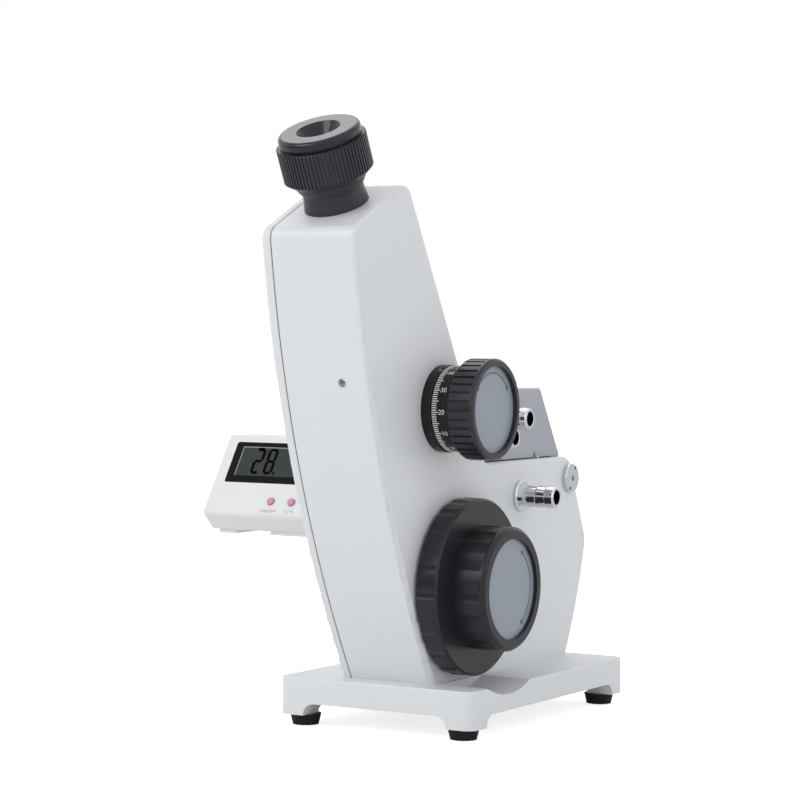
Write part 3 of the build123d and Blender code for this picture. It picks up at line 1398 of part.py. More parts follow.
with BuildPart() as thermometer_case:
    add(profile_slab(case_profile.sketch, case_left, case_right))
    for end_face in (thermometer_case.faces().sort_by(Axis.X)[0], thermometer_case.faces().sort_by(Axis.X)[-1]):
        fillet(end_face.outer_wire().edges(), case_round - 0.4)
    # feet
    for x_from, x_to in case_feet:
        with BuildSketch(Plane.XY.offset(case_bottom - case_foot)):
            with Locations(((x_from + x_to) / 2, (case_lip_y + case_rear_y) / 2)):
                RectangleRounded(x_to - x_from, case_rear_y - case_lip_y - 2, 2.0)
        extrude(amount=case_foot + 1)
    # boss round the probe
    with BuildSketch(Plane.XZ.offset(-case_rear_y)):
        with Locations((probe_x, probe_z)):
            Circle(probe_radius + 2.0)
    extrude(amount=-4.0)
    add(profile_slab(case_inside.sketch, case_left + case_wall, case_right - case_wall), mode=Mode.SUBTRACT)
    # posts for the display board, and the battery's cup
    with BuildSketch(panel.offset(-board_depth)):
        with Locations(*board_posts):
            Circle(2.2)
    extrude(amount=board_depth - case_wall / 2)
    with BuildSketch(Plane.XZ.offset(-case_rear_y + case_wall / 2)):
        with Locations((battery_x, battery_z)):
            Circle(battery_radius + 1.6)
    extrude(amount=battery_thick + 0.6)
    with BuildSketch(Plane.XZ.offset(-case_rear_y - 1)):
        with Locations((battery_x, battery_z)):
            Circle(battery_radius + 0.1)
    extrude(amount=1 + battery_cover_thick + battery_thick, mode=Mode.SUBTRACT)
    with BuildSketch(Plane.XZ.offset(-case_rear_y - 1)):
        with Locations((battery_x, battery_z)):
            Circle(battery_cover_radius)
    extrude(amount=1 + battery_cover_thick, mode=Mode.SUBTRACT)
    # bore for the probe
    with BuildSketch(Plane.XZ.offset(-case_rear_y - 5)):
        with Locations((probe_x, probe_z)):
            Circle(probe_radius)
    extrude(amount=case_wall + 6, mode=Mode.SUBTRACT)
    # recess and opening of the display, and the button holes
    with BuildSketch(panel.offset(-lcd_glass)):
        with Locations(lcd_centre):
            RectangleRounded(*lcd_size, 1.0)
    extrude(amount=lcd_glass + 1, mode=Mode.SUBTRACT)
    with BuildSketch(panel.offset(-case_wall - 1)):
        with Locations(lcd_centre):
            Rectangle(lcd_size[0] - 2 * lcd_rim, lcd_size[1] - 2 * lcd_rim)
        with Locations(*button_places.values()):
            Circle(button_radius + button_clear)
    extrude(amount=case_wall + 2, mode=Mode.SUBTRACT)

for name, keep in (("thermometer_front_case", Keep.BOTTOM), ("thermometer_back_case", Keep.TOP)):
    with BuildPart() as case_half:
        add(thermometer_case.part)
        split(bisect_by=Plane((0, case_split_y, 0), x_dir=(1, 0, 0), z_dir=(0, 1, 0)), keep=keep)
    finish(case_half, name)

with BuildPart() as lcd_window:
    with BuildSketch(panel.offset(-lcd_glass)):
        with Locations(lcd_centre):
            RectangleRounded(*lcd_size, 1.0)
    extrude(amount=lcd_glass)
finish(lcd_window, "lcd_window")

with BuildPart() as display_board:
    with BuildSketch(panel.offset(-board_depth - board_thick)):
        with Locations(((case_left + case_right) / 2, 20.0)):
            Rectangle(case_right - case_left - 2 * case_wall - 1.6, 33.0)
    extrude(amount=board_thick)
    # display cell and the two push switches
    with BuildSketch(panel.offset(-board_depth)):
        with Locations(lcd_centre):
            Rectangle(lcd_size[0] - 2 * lcd_rim - 1, lcd_size[1] - 2 * lcd_rim - 1)
    extrude(amount=board_depth - case_wall - 0.2)
    with BuildSketch(panel.offset(-board_depth)):
        with Locations(*button_places.values()):
            Rectangle(4.5, 4.5)
    extrude(amount=board_depth - switch_top)
finish(display_board, "display_board")

for name, place in button_places.items():
    with BuildPart() as button:
        with BuildSketch(panel.offset(-flange_top - flange_thick)):
            with Locations(place):
                Circle(button_radius)
        extrude(amount=button_proud + flange_top + flange_thick)
        fillet(button.faces().sort_by(Axis((0, 0, 0), tuple(panel.z_dir)))[-1].edges(), 0.4)
        with BuildSketch(panel.offset(-flange_top - flange_thick)):
            with Locations(place):
                Circle(button_radius + 0.9)
        extrude(amount=flange_thick)
    finish(button, name)

with BuildPart() as battery:
    with BuildSketch(Plane.XZ.offset(-case_rear_y + battery_cover_thick)):
        with Locations((battery_x, battery_z)):
            Circle(battery_radius)
    extrude(amount=battery_thick)
finish(battery, "battery")

with BuildPart() as battery_cover:
    with BuildSketch(Plane.XZ.offset(-case_rear_y)):
        with Locations((battery_x, battery_z)):
            Circle(battery_cover_radius)
    extrude(amount=battery_cover_thick)
    with BuildSketch(Plane.XZ.offset(-case_rear_y)):
        with Locations((battery_x, battery_z)):
            Rectangle(9.0, 1.2)
    extrude(amount=0.6, mode=Mode.SUBTRACT)
finish(battery_cover, "battery_cover")

# probe: from the case to the lower prism seat, through a knurled seat on the left cover
with BuildPart() as thermometer_probe:
    with BuildLine() as probe_path:
        FilletPolyline(
            (probe_x, case_rear_y - case_wall - 4, probe_z), (probe_x, probe_y, probe_z),
            (probe_tip_x, probe_y, probe_z), radius=probe_bend,
        )
    with BuildSketch(Plane(probe_path.line @ 0, x_dir=(1, 0, 0), z_dir=(0, 1, 0))):
        Circle(probe_radius)
    sweep()
finish(thermometer_probe, "thermometer_probe")

with BuildPart() as thermometer_seat:
    add(turned([(cover_left - probe_seat_length, probe_radius), (cover_left - probe_seat_length, probe_seat_radius - 1.2),
                (cover_left - probe_seat_length + 1.2, probe_seat_radius), (cover_left, probe_seat_radius),
                (cover_left, probe_seat_radius - 2.0), (seat_left, probe_seat_radius - 2.0),
                (seat_left, probe_radius)], probe_y, probe_z))
    with BuildSketch(side_at(cover_left - probe_seat_length + 1.6, probe_y, probe_z)):
        with PolarLocations(probe_seat_radius, 30):
            Rectangle(0.6, 0.6)
    extrude(amount=probe_seat_length - 2.8, mode=Mode.SUBTRACT)
finish(thermometer_seat, "thermometer_seat")
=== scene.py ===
"""Looks of the bench refractometer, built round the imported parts. Metres, +Z up."""
from math import atan2, cos, pi, radians, sin

import bpy
from mathutils import Matrix, Vector


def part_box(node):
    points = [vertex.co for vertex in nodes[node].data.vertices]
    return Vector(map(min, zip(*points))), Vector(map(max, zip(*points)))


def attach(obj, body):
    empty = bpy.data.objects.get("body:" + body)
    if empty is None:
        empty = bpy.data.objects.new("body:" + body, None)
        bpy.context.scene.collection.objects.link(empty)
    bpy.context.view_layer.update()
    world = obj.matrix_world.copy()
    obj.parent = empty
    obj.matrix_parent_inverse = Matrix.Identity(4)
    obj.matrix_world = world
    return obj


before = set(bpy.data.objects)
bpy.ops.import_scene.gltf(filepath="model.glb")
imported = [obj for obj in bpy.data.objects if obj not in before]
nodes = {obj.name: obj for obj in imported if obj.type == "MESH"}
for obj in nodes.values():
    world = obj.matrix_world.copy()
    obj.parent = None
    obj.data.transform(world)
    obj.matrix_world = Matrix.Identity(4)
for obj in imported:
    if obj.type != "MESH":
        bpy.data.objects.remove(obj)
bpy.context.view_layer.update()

MM = 0.001

# ---------------------------------------------------------------- camera: the photograph's view
view_azimuth = radians(30.667)
view_pitch = radians(1.521)
view_roll = radians(0.429)
frame_pixels = 800
focal_pixels = 2582.54        # on a frame of that width
sensor_width = 36             # mm
far_clip = 20
camera_place = Vector((0.522753, -0.929488, 0.157675))


def add_camera():
    """The camera, turned to the view's azimuth, pitch and roll."""
    level = cos(view_pitch)
    ahead = Vector((-sin(view_azimuth) * level, cos(view_azimuth) * level, -sin(view_pitch)))
    right = Vector((cos(view_azimuth), sin(view_azimuth), 0))
    up = right.cross(ahead)
    turned_right = cos(view_roll) * right + sin(view_roll) * up
    turned_up = -sin(view_roll) * right + cos(view_roll) * up
    bpy.ops.object.camera_add()
    camera = bpy.context.object
    camera.data.sensor_width = sensor_width
    camera.data.lens = focal_pixels / frame_pixels * sensor_width
    camera.data.clip_end = far_clip
    turn = Matrix((turned_right, turned_up, -ahead)).transposed()
    camera.matrix_world = Matrix.Translation(camera_place) @ turn.to_4x4()
    bpy.context.scene.camera = camera


add_camera()

# ---------------------------------------------------------------- shared surface effects
grain_scale, grain_detail = 2500, 3      # fine grain of paint, plastic and metal, per metre
patch_scale, patch_detail = 60, 4        # broad soft patches, per metre
relief_depth = 0.1 * MM


def group_socket(tree, name, way, kind="NodeSocketFloat"):
    """One named input or output of a node group."""
    tree.interface.new_socket(name=name, in_out=way, socket_type=kind)


def node(tree, kind, **settings):
    """A new shader node with its settings."""
    made = tree.nodes.new(kind)
    for name, value in settings.items():
        setattr(made, name, value)
    return made


def make_surface_group():
    """Fine grain for bump, and broad soft patches that vary the colour and the roughness."""
    tree = bpy.data.node_groups.new("surface_texture", "ShaderNodeTree")
    group_socket(tree, "Tint", "INPUT", "NodeSocketColor")
    group_socket(tree, "Tint Spread", "INPUT")
    group_socket(tree, "Roughness", "INPUT")
    group_socket(tree, "Roughness Spread", "INPUT")
    group_socket(tree, "Colour", "OUTPUT", "NodeSocketColor")
    group_socket(tree, "Roughness", "OUTPUT")
    group_socket(tree, "Height", "OUTPUT")
    link = tree.links.new
    given = node(tree, "NodeGroupInput")
    result = node(tree, "NodeGroupOutput")
    place = node(tree, "ShaderNodeTexCoord")
    grain = node(tree, "ShaderNodeTexNoise")
    grain.inputs["Detail"].default_value = grain_detail
    grain.inputs["Scale"].default_value = grain_scale
    patches = node(tree, "ShaderNodeTexNoise")
    patches.inputs["Detail"].default_value = patch_detail
    patches.inputs["Scale"].default_value = patch_scale
    link(place.outputs["Object"], grain.inputs["Vector"])
    link(place.outputs["Object"], patches.inputs["Vector"])
    centred = node(tree, "ShaderNodeMath", operation="SUBTRACT")
    centred.inputs[1].default_value = 0.5
    link(patches.outputs["Fac"], centred.inputs[0])
    shade = node(tree, "ShaderNodeMath", operation="MULTIPLY_ADD")
    link(centred.outputs[0], shade.inputs[0])
    link(given.outputs["Tint Spread"], shade.inputs[1])
    shade.inputs[2].default_value = 1.0
    tinted = node(tree, "ShaderNodeVectorMath", operation="SCALE")
    link(given.outputs["Tint"], tinted.inputs[0])
    link(shade.outputs[0], tinted.inputs["Scale"])
    rough = node(tree, "ShaderNodeMath", operation="MULTIPLY_ADD")
    link(centred.outputs[0], rough.inputs[0])
    link(given.outputs["Roughness Spread"], rough.inputs[1])
    link(given.outputs["Roughness"], rough.inputs[2])
    link(tinted.outputs[0], result.inputs["Colour"])
    link(rough.outputs[0], result.inputs["Roughness"])
    link(grain.outputs["Fac"], result.inputs["Height"])
    return tree


surface_group = make_surface_group()


def finish_material(name, tint, roughness, tint_spread=0.04, roughness_spread=0.08, bump=0.05,
                    **shader_values):
    """A Principled material with the shared surface texture; other sockets are set by name."""
    material = bpy.data.materials.new(name)
    material.use_nodes = True
    tree = material.node_tree
    shader = tree.nodes["Principled BSDF"]
    texture = node(tree, "ShaderNodeGroup", node_tree=surface_group)
    texture.inputs["Tint"].default_value = (*tint, 1)
    texture.inputs["Tint Spread"].default_value = tint_spread
    texture.inputs["Roughness"].default_value = roughness
    texture.inputs["Roughness Spread"].default_value = roughness_spread
    relief = node(tree, "ShaderNodeBump")
    relief.inputs["Strength"].default_value = bump
    relief.inputs["Distance"].default_value = relief_depth
    link = tree.links.new
    link(texture.outputs["Colour"], shader.inputs["Base Color"])
    link(texture.outputs["Roughness"], shader.inputs["Roughness"])
    link(texture.outputs["Height"], relief.inputs["Height"])
    link(relief.outputs["Normal"], shader.inputs["Normal"])
    for socket, value in shader_values.items():
        shader.inputs[socket.replace("_", " ")].default_value = value
    return material


seam_half_width = 0.22 * MM
seam_core = 0.6               # share of that half width that is fully dark
seam_shadow = (0.10, 0.10, 0.105, 1)


def paint_seam_shade(material, seam_x):
    """Painted shade: darkens the paint where the groove between cover and casting runs."""
    tree = material.node_tree
    shader = tree.nodes["Principled BSDF"]
    paint = shader.inputs["Base Color"].links[0].from_socket
    place = node(tree, "ShaderNodeTexCoord")
    axes = node(tree, "ShaderNodeSeparateXYZ")
    off = node(tree, "ShaderNodeMath", operation="SUBTRACT")
    off.inputs[1].default_value = seam_x
    distance = node(tree, "ShaderNodeMath", operation="ABSOLUTE")
    inside = node(tree, "ShaderNodeMapRange")
    inside.inputs["From Min"].default_value = seam_half_width
    inside.inputs["From Max"].default_value = seam_core * seam_half_width
    blend = node(tree, "ShaderNodeMix", data_type="RGBA")
    blend.inputs["B"].default_value = seam_shadow
    link = tree.links.new
    link(place.outputs["Object"], axes.inputs[0])
    link(axes.outputs["X"], off.inputs[0])
    link(off.outputs[0], distance.inputs[0])
    link(distance.outputs[0], inside.inputs["Value"])
    link(inside.outputs[0], blend.inputs["Factor"])
    link(paint, blend.inputs["A"])
    link(blend.outputs["Result"], shader.inputs["Base Color"])


# ---------------------------------------------------------------- finishes
pale_paint = {"tint": (0.775, 0.785, 0.80), "roughness": 0.42, "tint_spread": 0.02, "bump": 0.12}
housing_paint = finish_material("housing_paint", **pale_paint)
seamed_paint = finish_material("seamed_paint", **pale_paint)
paint_seam_shade(seamed_paint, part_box("left_cover")[1][0])
holder_paint = finish_material("holder_paint", (0.40, 0.41, 0.45), 0.36, tint_spread=0.03,
                               Metallic=0.55)
black_rubber = finish_material("black_rubber", (0.010, 0.010, 0.011), 0.60, bump=0.2,
                               Specular_IOR_Level=0.25)
grip_plastic = finish_material("grip_plastic", (0.027, 0.027, 0.033), 0.30, bump=0.12,
                               Specular_IOR_Level=0.35)
wheel_plastic = finish_material("wheel_plastic", (0.021, 0.021, 0.026), 0.28, bump=0.10,
                                Specular_IOR_Level=0.28)
eye_plastic = finish_material("eye_plastic", (0.031, 0.029, 0.039), 0.34, bump=0.12,
                              Specular_IOR_Level=0.35)
cap_plastic = finish_material("cap_plastic", (0.014, 0.013, 0.024), 0.17, bump=0.03,
                              Specular_IOR_Level=0.4)
ring_enamel = finish_material("ring_enamel", (0.012, 0.012, 0.014), 0.30, bump=0.05,
                              Specular_IOR_Level=0.25)
plate_enamel = finish_material("plate_enamel", (0.30, 0.33, 0.39), 0.36, bump=0.06)
chrome = finish_material("chrome", (0.66, 0.67, 0.70), 0.10, tint_spread=0.02, bump=0.02,
                         Metallic=1.0)
satin_chrome = finish_material("satin_chrome", (0.60, 0.62, 0.64), 0.24, bump=0.04, Metallic=1.0)
turned_steel = finish_material("turned_steel", (0.50, 0.50, 0.51), 0.32, bump=0.06, Metallic=1.0)
dark_anodised = finish_material("dark_anodised", (0.05, 0.05, 0.055), 0.45, bump=0.08,
                                Metallic=0.6)
brass = finish_material("brass", (0.62, 0.46, 0.18), 0.28, bump=0.04, Metallic=1.0)
mirror_silver = finish_material("mirror_silver", (0.90, 0.90, 0.90), 0.04, tint_spread=0.01,
                                roughness_spread=0.02, bump=0.0, Metallic=1.0)
case_plastic = finish_material("case_plastic", (0.80, 0.80, 0.80), 0.38, tint_spread=0.015,
                               bump=0.06)
lcd_black = finish_material("lcd_black", (0.009, 0.010, 0.011), 0.20, bump=0.02,
                            Specular_IOR_Level=0.05)
screen_grey = finish_material("screen_grey", (0.048, 0.053, 0.053), 0.25, tint_spread=0.03,
                              bump=0.02, Specular_IOR_Level=0.08)
# painted highlight: the light grey of the display window's left and top edges
painted_edge_highlight = finish_material("painted_edge_highlight", (0.28, 0.28, 0.28), 0.35)
digit_black = finish_material("digit_black", (0.002, 0.002, 0.002), 0.6, Specular_IOR_Level=0.02)
dial_white = finish_material("dial_white", (0.80, 0.80, 0.78), 0.5, tint_spread=0.03)
arrow_print = finish_material("arrow_print", (0.09, 0.10, 0.12), 0.45, tint_spread=0.05)
label_print = finish_material("label_print", (0.42, 0.24, 0.29), 0.5, tint_spread=0.05)
board_green = finish_material("board_green", (0.02, 0.12, 0.05), 0.4)
button_rubber = finish_material("button_rubber", (0.64, 0.30, 0.42), 0.45)
optical_glass = finish_material("optical_glass", (0.93, 0.97, 0.98), 0.03, tint_spread=0.01,
                                roughness_spread=0.02, bump=0.0, Transmission_Weight=1.0, IOR=1.52)

node_finish = {
    housing_paint: ["base_casting"],
    seamed_paint: ["housing_casting", "left_cover"],
    holder_paint: ["illuminating_prism_holder", "prism_seat", "window_shade"],
    black_rubber: ["rubber_feet"],
    grip_plastic: ["dispersion_knob"],
    wheel_plastic: ["handwheel"],
    eye_plastic: ["diopter_ring", "eyepiece_tube", "eye_lens_barrel"],
    cap_plastic: ["eye_cap"],
    ring_enamel: ["scale_ring", "index_ring", "lock_knob"],
    plate_enamel: ["handwheel_face_plate", "dispersion_face_plate"],
    chrome: ["lower_nipples", "upper_nipples", "thermometer_probe"],
    satin_chrome: ["hinge_caps", "thermometer_seat"],
    turned_steel: ["foot_screws", "frame_screws", "cover_screws", "calibration_screw",
                   "dispersion_shaft", "handwheel_shaft", "hinge_pin", "lock_hook",
                   "drive_pinion", "battery"],
    dark_anodised: ["graticule_carrier", "telescope_barrel", "reading_tube", "mirror_holder",
                    "sector_arm", "upper_amici_mount", "lower_amici_mount", "dispersion_pinion"],
    brass: ["shaft_bushes"],
    mirror_silver: ["rotating_mirror", "reflector_mirror", "scale_mirror"],
    case_plastic: ["thermometer_front_case", "thermometer_back_case", "battery_cover"],
    lcd_black: ["lcd_window"],
    board_green: ["display_board"],
    button_rubber: ["power_button", "unit_button"],
    optical_glass: ["fixed_optics", "eyepiece_lenses", "upper_amici_prism", "lower_amici_prism",
                    "refracting_prism", "illuminating_prism", "scale_plate", "scale_window"],
}
for material, names in node_finish.items():
    for name in names:
        slots = nodes[name].data.materials
        slots.clear()
        slots.append(material)


# ---------------------------------------------------------------- small helpers for the new pieces
def clear_selection():
    """Leaves edit mode and selects nothing."""
    if bpy.context.object and bpy.context.object.mode != "OBJECT":
        bpy.ops.object.mode_set(mode="OBJECT")
    bpy.ops.object.select_all(action="DESELECT")


def choose(*pieces):
    """Selects these pieces alone; the first is the active one."""
    clear_selection()
    for piece in pieces:
        piece.select_set(True)
    bpy.context.view_layer.objects.active = pieces[0]


def joined(pieces):
    """The pieces as one."""
    choose(*pieces)
    if len(pieces) > 1:
        bpy.ops.object.join()
    return bpy.context.object


def settle(piece, name, material, body):
    """Puts a finished piece's place into its mesh, and gives it its name, finish and body."""
    choose(piece)
    bpy.ops.object.transform_apply(location=True, rotation=True, scale=True)
    piece.name = name
    piece.data.name = name
    piece.data.materials.clear()
    piece.data.materials.append(material)
    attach(piece, body)


def plain_bar(size, place):
    """A cube drawn out to a bar; it is shaped further where it is used."""
    clear_selection()
    bpy.ops.mesh.primitive_cube_add(size=1, location=place)
    bar = bpy.context.object
    bar.scale = size
    bpy.ops.object.transform_apply(location=True, rotation=True, scale=True)
    return bar


def bevelled_bar(size, place, edge):
    """A small bar with all its edges bevelled."""
    bar = plain_bar(size, place)
    bevel = bar.modifiers.new("edges", "BEVEL")
    bevel.width = edge
    bevel.segments = 1
    bpy.ops.object.modifier_apply(modifier=bevel.name)
    return bar


def copies(first, moves):
    """One copy of a piece for each move, each with its own mesh; the first is used up."""
    made = []
    for move in moves:
        twin = first.copy()
        twin.data = first.data.copy()
        twin.data.transform(move)
        bpy.context.collection.objects.link(twin)
        made.append(twin)
    bpy.data.objects.remove(first)
    return made


def about_x(centre, angle):
    """A turn about a line along X through a centre."""
    there, back = Matrix.Translation(centre), Matrix.Translation(-centre)
    return there @ Matrix.Rotation(angle, 4, "X") @ back


capital_share = 0.7           # height of a capital, as a share of the font's size


def lettering(words, height, place, turn, rise, slant=0.0):
    """Raised print as a mesh, centred on its place; its own X runs along the words."""
    clear_selection()
    bpy.ops.object.text_add(location=place, rotation=turn)
    text = bpy.context.object
    text.data.body = words
    text.data.align_x = "CENTER"
    text.data.align_y = "CENTER"
    text.data.size = height / capital_share
    text.data.shear = slant
    text.data.extrude = rise
    text.data.resolution_u = 3
    bpy.ops.object.convert(target="MESH")
    bpy.ops.object.transform_apply(location=True, rotation=True, scale=True)
    return bpy.context.object


def middle(name):
    """The centre of a node's box."""
    low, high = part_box(name)
    return (Vector(low) + Vector(high)) / 2


# ---------------------------------------------------------------- dispersion knob's graduated drum
drum_low, drum_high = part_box("scale_ring")
drum_axis = middle("scale_ring")
drum_radius = (drum_high[2] - drum_low[2]) / 2
divisions = 120               # once round the drum
numbered_round = 60           # the numbers start again from 0 here
tick_angle = radians(360 / divisions)
front_number = 20
front_angle = radians(-3.5)   # where that number stands, up from the front


def dial_turn(unit):
    """The move from the front of the drum to a division."""
    return about_x(drum_axis, -(front_angle + (unit - front_number) * tick_angle))


def graduate_drum():
    """Ticks, longer at each fifth, and a number at each tenth."""
    start = drum_low[0] + 0.3 * MM
    front = drum_axis.y - drum_radius
    short_tick, long_tick = 2.1 * MM, 2.9 * MM
    tick_rise, tick_width, tick_edge = 0.10 * MM, 0.40 * MM, 0.02 * MM
    number_in, number_height, number_rise = 4.35 * MM, 1.95 * MM, 0.07 * MM
    fifths = [unit for unit in range(divisions) if not unit % 5]
    others = [unit for unit in range(divisions) if unit % 5]
    marks = []
    for length, units in ((short_tick, others), (long_tick, fifths)):
        place = (start + length / 2, front, drum_axis.z)
        tick = bevelled_bar((length, tick_rise, tick_width), place, tick_edge)
        marks += copies(tick, [dial_turn(unit) for unit in units])
    settle(joined(marks), "dial_marks", dial_white, "dispersion_drive")
    numbers = []
    for unit in range(0, divisions, 10):
        place = (start + number_in, front, drum_axis.z)
        number = lettering(str(unit % numbered_round), number_height, place, (pi / 2, 0, 0),
                           number_rise)
        number.data.transform(dial_turn(unit))
        numbers.append(number)
    settle(joined(numbers), "dial_numbers", dial_white, "dispersion_drive")


graduate_drum()


def index_line():
    """White fill in the groove of the fixed ring, which the drum is read against."""
    low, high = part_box("index_ring")
    radius = (high[2] - low[2]) / 2
    length, thickness, width, edge = 1.2 * MM, 0.2 * MM, 0.46 * MM, 0.03 * MM
    from_end, sunk = 0.68 * MM, 0.14 * MM
    groove_angle = radians(62)    # up from the front
    place = (high[0] - from_end, drum_axis.y - radius + sunk, drum_axis.z)
    line = bevelled_bar((length, thickness, width), place, edge)
    line.data.transform(about_x(drum_axis, -groove_angle))
    settle(line, "index_mark", dial_white, "root")


index_line()

# ---------------------------------------------------------------- arrows on the knobs' face plates
arrow_rise = 0.10 * MM
arrow_line = 0.50 * MM        # width of the arc
arrow_head = 1.25 * MM        # radius round the head's three corners
arrow_steps = 28
print_stand = 0.01 * MM       # the print's middle, out from the plate


def arc_arrow(plate, radius, start, sweep, name, body):
    """A thin printed arc with a head at each end, on a plate; angles go up from the front."""
    centre = middle(plate)
    centre.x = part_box(plate)[1][0] + print_stand
    front = centre + Vector((0, -radius, 0))
    clear_selection()
    bpy.ops.mesh.primitive_plane_add(size=1, location=front)
    arc = bpy.context.object
    arc.scale = (arrow_rise, arrow_line, 1)
    bpy.ops.object.transform_apply(location=True, rotation=True, scale=True)
    arc.data.transform(about_x(centre, -start))
    bpy.ops.object.mode_set(mode="EDIT")
    bpy.ops.mesh.select_all(action="SELECT")
    bpy.ops.mesh.delete(type="ONLY_FACE")
    bpy.ops.mesh.select_all(action="SELECT")
    bpy.ops.mesh.spin(steps=arrow_steps, angle=sweep, center=centre, axis=(1, 0, 0))
    bpy.ops.mesh.select_all(action="SELECT")
    bpy.ops.mesh.fill_holes(sides=4)
    bpy.ops.mesh.normals_make_consistent(inside=False)
    bpy.ops.object.mode_set(mode="OBJECT")
    heads = []
    for end, way in ((start + sweep, 1), (start, -1)):
        clear_selection()
        bpy.ops.mesh.primitive_cylinder_add(vertices=3, radius=arrow_head, depth=arrow_rise,
                                            location=front, rotation=(0, pi / 2, 0))
        head = bpy.context.object
        bpy.ops.object.transform_apply(location=True, rotation=True, scale=True)
        head.data.transform(about_x(front, way * pi / 2))
        head.data.transform(about_x(centre, -end))
        heads.append(head)
    settle(joined([arc] + heads), name, arrow_print, body)


arc_arrow("dispersion_face_plate", 14.3 * MM, radians(35), radians(110), "dispersion_arrow",
          "dispersion_drive")
arc_arrow("handwheel_face_plate", 16.8 * MM, radians(125), radians(110), "handwheel_arrow",
          "handwheel_drive")

# ---------------------------------------------------------------- thermometer's display and labels
# the panel's own frame: X across, Y up its face, Z out of it
panel_forward, panel_upward = 0.8415, 0.5402     # how its face looks to the front and up
panel_place = Vector((0, -52, 81.9)) * MM
panel_turn = Matrix.Rotation(atan2(panel_forward, panel_upward), 4, "X")
panel = Matrix.Translation(panel_place) @ panel_turn


def panel_height(name):
    """How far a node stands out along the panel's normal."""
    back = panel.inverted()
    return max((back @ vertex.co).z for vertex in nodes[name].data.vertices)


def on_panel(pieces, name, material):
    """Joins pieces made in the panel's own frame and settles them on the panel."""
    piece = joined(pieces)
    piece.data.transform(panel)
    settle(piece, name, material, "root")


def pointed_bar(size, place):
    """A segment of a digit: a flat bar whose two ends come to a blunt point."""
    point_share = 0.42            # of the bar's width, cut off each corner
    upright = 0.01 * MM           # an edge that rises by more than this is a corner's
    # the first bar's edges are picked in vertex mode, so all twelve of them are bevelled
    bar = plain_bar(size, place)
    bpy.ops.object.mode_set(mode="EDIT")
    bpy.ops.mesh.select_all(action="DESELECT")
    bpy.ops.object.mode_set(mode="OBJECT")
    for edge in bar.data.edges:
        one, two = (bar.data.vertices[index].co for index in edge.vertices)
        edge.select = abs(one.z - two.z) > upright
    bpy.ops.object.mode_set(mode="EDIT")
    bpy.ops.mesh.select_mode(type="EDGE")
    bpy.ops.mesh.bevel(offset=point_share * min(size[:2]), offset_type="OFFSET", segments=1)
    bpy.ops.object.mode_set(mode="OBJECT")
    return bar


def display_digits(glass):
    """The reading, in seven-segment digits and a point."""
    width, height, stroke, thick = 4.8 * MM, 12.3 * MM, 1.35 * MM, 0.1 * MM
    gap = 0.30 * MM               # between the ends of two segments
    foot = 19.4 * MM + stroke / 2
    level = glass + 0.08 * MM
    half = height / 2 - stroke / 2
    reach = width / 2 - stroke / 2
    # each segment's place, across and up from the middle of the digit's foot, and if it stands
    segments = {"a": (0, 2 * half, False), "g": (0, half, False), "d": (0, 0, False),
                "b": (reach, 1.5 * half, True), "c": (reach, 0.5 * half, True),
                "f": (-reach, 1.5 * half, True), "e": (-reach, 0.5 * half, True)}
    bars = []
    for left, lit in ((-76.3 * MM, "abged"), (-70.1 * MM, "abcdefg")):
        centre = left + width / 2
        for name in lit:
            across, up, stands = segments[name]
            length = (half if stands else 2 * reach) - gap
            size = (stroke, length, thick) if stands else (length, stroke, thick)
            bars.append(pointed_bar(size, (centre + across, foot + up, level)))
    point_size, point_place, point_edge = 1.1 * MM, (-64.5 * MM, 20.0 * MM, level), 0.04 * MM
    bars.append(bevelled_bar((point_size, point_size, thick), point_place, point_edge))
    on_panel(bars, "display_digits", digit_black)


def display():
    """The screen in the dark window, a painted highlight strip at its left and top, and the
    digits.
    """
    glass = panel_height("lcd_window")
    left, right, low, high = -83.5 * MM, -44.9 * MM, 18.5 * MM, 32.4 * MM
    centre_x, centre_up = (left + right) / 2, (low + high) / 2
    width, height = right - left, high - low
    screen_thick, screen_bevel = 0.16 * MM, 0.06 * MM
    edge_width, edge_thick, edge_bevel, edge_in = 0.55 * MM, 0.22 * MM, 0.08 * MM, 0.3 * MM
    screen = bevelled_bar((width, height, screen_thick), (centre_x, centre_up, glass),
                          screen_bevel)
    on_panel([screen], "display_screen", screen_grey)
    # a light strip at the window's left and top: painted highlight for its lit inner walls
    side = bevelled_bar((edge_width, height, edge_thick), (left + edge_in, centre_up, glass),
                        edge_bevel)
    top = bevelled_bar((width, edge_width, edge_thick), (centre_x, high - edge_in, glass),
                       edge_bevel)
    on_panel([side, top], "display_edge_highlight", painted_edge_highlight)
    display_digits(glass)


def button_labels():
    """What each button does, in small print below it."""
    face = panel_height("thermometer_front_case")
    height, rise, up, slant = 1.5 * MM, 0.02 * MM, 2.3 * MM, 0.1
    units = "\N{DEGREE SIGN}C/\N{DEGREE SIGN}F"
    labels = [lettering(words, height, (across * MM, up, face), (0, 0, 0), rise, slant)
              for words, across in (("ON/OFF", -61.0), (units, -51.2))]
    on_panel(labels, "button_labels", label_print)


display()
button_labels()

# ---------------------------------------------------------------- studio
white = (1, 1, 1, 1)
sky_tint = (0.96, 0.98, 1.0, 1)
sky_strength = 0.74
floor_width = 12
floor_drop = 0.2 * MM         # keeps the floor clear of the feet
floor_tint = (0.86, 0.86, 0.86, 1)
floor_glow = 0.72             # what brings the floor to white for the camera alone
card_tint = (0.012, 0.012, 0.013, 1)


def aimed(place, aim):
    """The turn that points an object's own -Z from its place to what it is aimed at."""
    return (Vector(aim) - Vector(place)).to_track_quat("-Z", "Y").to_euler()


def area_light(name, place, aim, width, height, power):
    """A rectangular lamp."""
    bpy.ops.object.light_add(type="AREA", location=place)
    lamp = bpy.context.object
    lamp.name = name
    lamp.data.shape = "RECTANGLE"
    lamp.data.size = width
    lamp.data.size_y = height
    lamp.data.energy = power
    lamp.rotation_euler = aimed(place, aim)


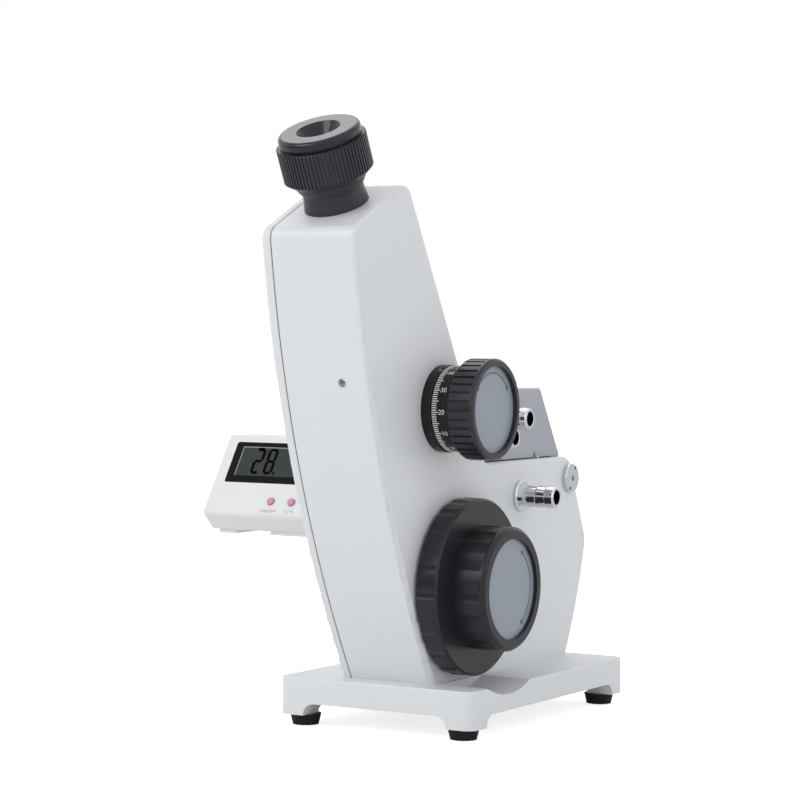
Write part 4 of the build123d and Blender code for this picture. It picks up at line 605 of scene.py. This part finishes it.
def white_for_view(tree, lit, seen):
    """Mixes a shader with plain white for camera, mirror and glass rays, and returns the mix."""
    paths = node(tree, "ShaderNodeLightPath")
    either = node(tree, "ShaderNodeMath", operation="MAXIMUM")
    any_ray = node(tree, "ShaderNodeMath", operation="MAXIMUM")
    mix = node(tree, "ShaderNodeMixShader")
    link = tree.links.new
    link(paths.outputs["Is Camera Ray"], either.inputs[0])
    link(paths.outputs["Is Glossy Ray"], either.inputs[1])
    link(either.outputs[0], any_ray.inputs[0])
    link(paths.outputs["Is Transmission Ray"], any_ray.inputs[1])
    link(any_ray.outputs[0], mix.inputs[0])
    link(lit.outputs[0], mix.inputs[1])
    link(seen.outputs[0], mix.inputs[2])
    return mix


def pale_world():
    """Soft light from all round; the camera and reflections see it as white."""
    world = bpy.data.worlds.new("studio")
    bpy.context.scene.world = world
    world.use_nodes = True
    tree = world.node_tree
    lit = tree.nodes["Background"]
    lit.inputs["Color"].default_value = sky_tint
    lit.inputs["Strength"].default_value = sky_strength
    seen = node(tree, "ShaderNodeBackground")
    seen.inputs["Color"].default_value = white
    mix = white_for_view(tree, lit, seen)
    tree.links.new(mix.outputs[0], tree.nodes["World Output"].inputs["Surface"])


def white_floor():
    """A pale floor that keeps the object's shadow and looks white to the camera."""
    bpy.ops.mesh.primitive_plane_add(size=floor_width, location=(0, 0, -floor_drop))
    floor = bpy.context.object
    floor.name = "floor"
    material = bpy.data.materials.new("floor_white")
    material.use_nodes = True
    tree = material.node_tree
    shader = tree.nodes["Principled BSDF"]
    shader.inputs["Base Color"].default_value = floor_tint
    shader.inputs["Roughness"].default_value = 0.9
    glow = node(tree, "ShaderNodeEmission")
    glow.inputs["Color"].default_value = white
    paths = node(tree, "ShaderNodeLightPath")
    dimmed = node(tree, "ShaderNodeMath", operation="MULTIPLY")
    dimmed.inputs[1].default_value = floor_glow
    both = node(tree, "ShaderNodeAddShader")
    tree.links.new(paths.outputs["Is Camera Ray"], dimmed.inputs[0])
    tree.links.new(dimmed.outputs[0], glow.inputs["Strength"])
    tree.links.new(shader.outputs[0], both.inputs[0])
    tree.links.new(glow.outputs[0], both.inputs[1])
    tree.links.new(both.outputs[0], tree.nodes["Material Output"].inputs["Surface"])
    floor.data.materials.append(material)


def dark_card(name, place, aim, width, height):
    """A black card beside the camera, seen only in reflections, as a studio uses for chrome."""
    bpy.ops.mesh.primitive_plane_add(size=1, location=place)
    card = bpy.context.object
    card.name = name
    card.scale = (width, height, 1)
    card.rotation_euler = aimed(place, aim)
    card.visible_camera = card.visible_diffuse = False
    card.visible_shadow = card.visible_transmission = False
    material = bpy.data.materials.new("card_black")
    material.use_nodes = True
    shader = material.node_tree.nodes["Principled BSDF"]
    shader.inputs["Base Color"].default_value = card_tint
    shader.inputs["Roughness"].default_value = 1.0
    shader.inputs["Specular IOR Level"].default_value = 0.0
    card.data.materials.append(material)


pale_world()
white_floor()
# name, place, aim, width, height, and a lamp's power in watts
area_light("key", (-0.6, -1.3, 1.1), (0, 0, 0.12), 0.9, 0.9, 7.2)
area_light("side", (1.4, -0.3, 0.6), (0, 0, 0.12), 1.2, 1.2, 0.8)
area_light("rear_side", (1.2, 0.7, 0.35), (0, 0, 0.1), 1.2, 0.8, 0.65)
area_light("top", (-0.45, 0.6, 1.3), (0, -0.1, 0.2), 0.8, 0.8, 2.6)
dark_card("front_card", (-1.0, -1.35, 0.26), (0, 0, 0.11), 1.5, 0.5)
dark_card("upper_card", (-0.7, -0.5, 1.5), (0, 0, 0.11), 1.2, 0.25)
bpy.context.scene.view_settings.view_transform = "Standard"
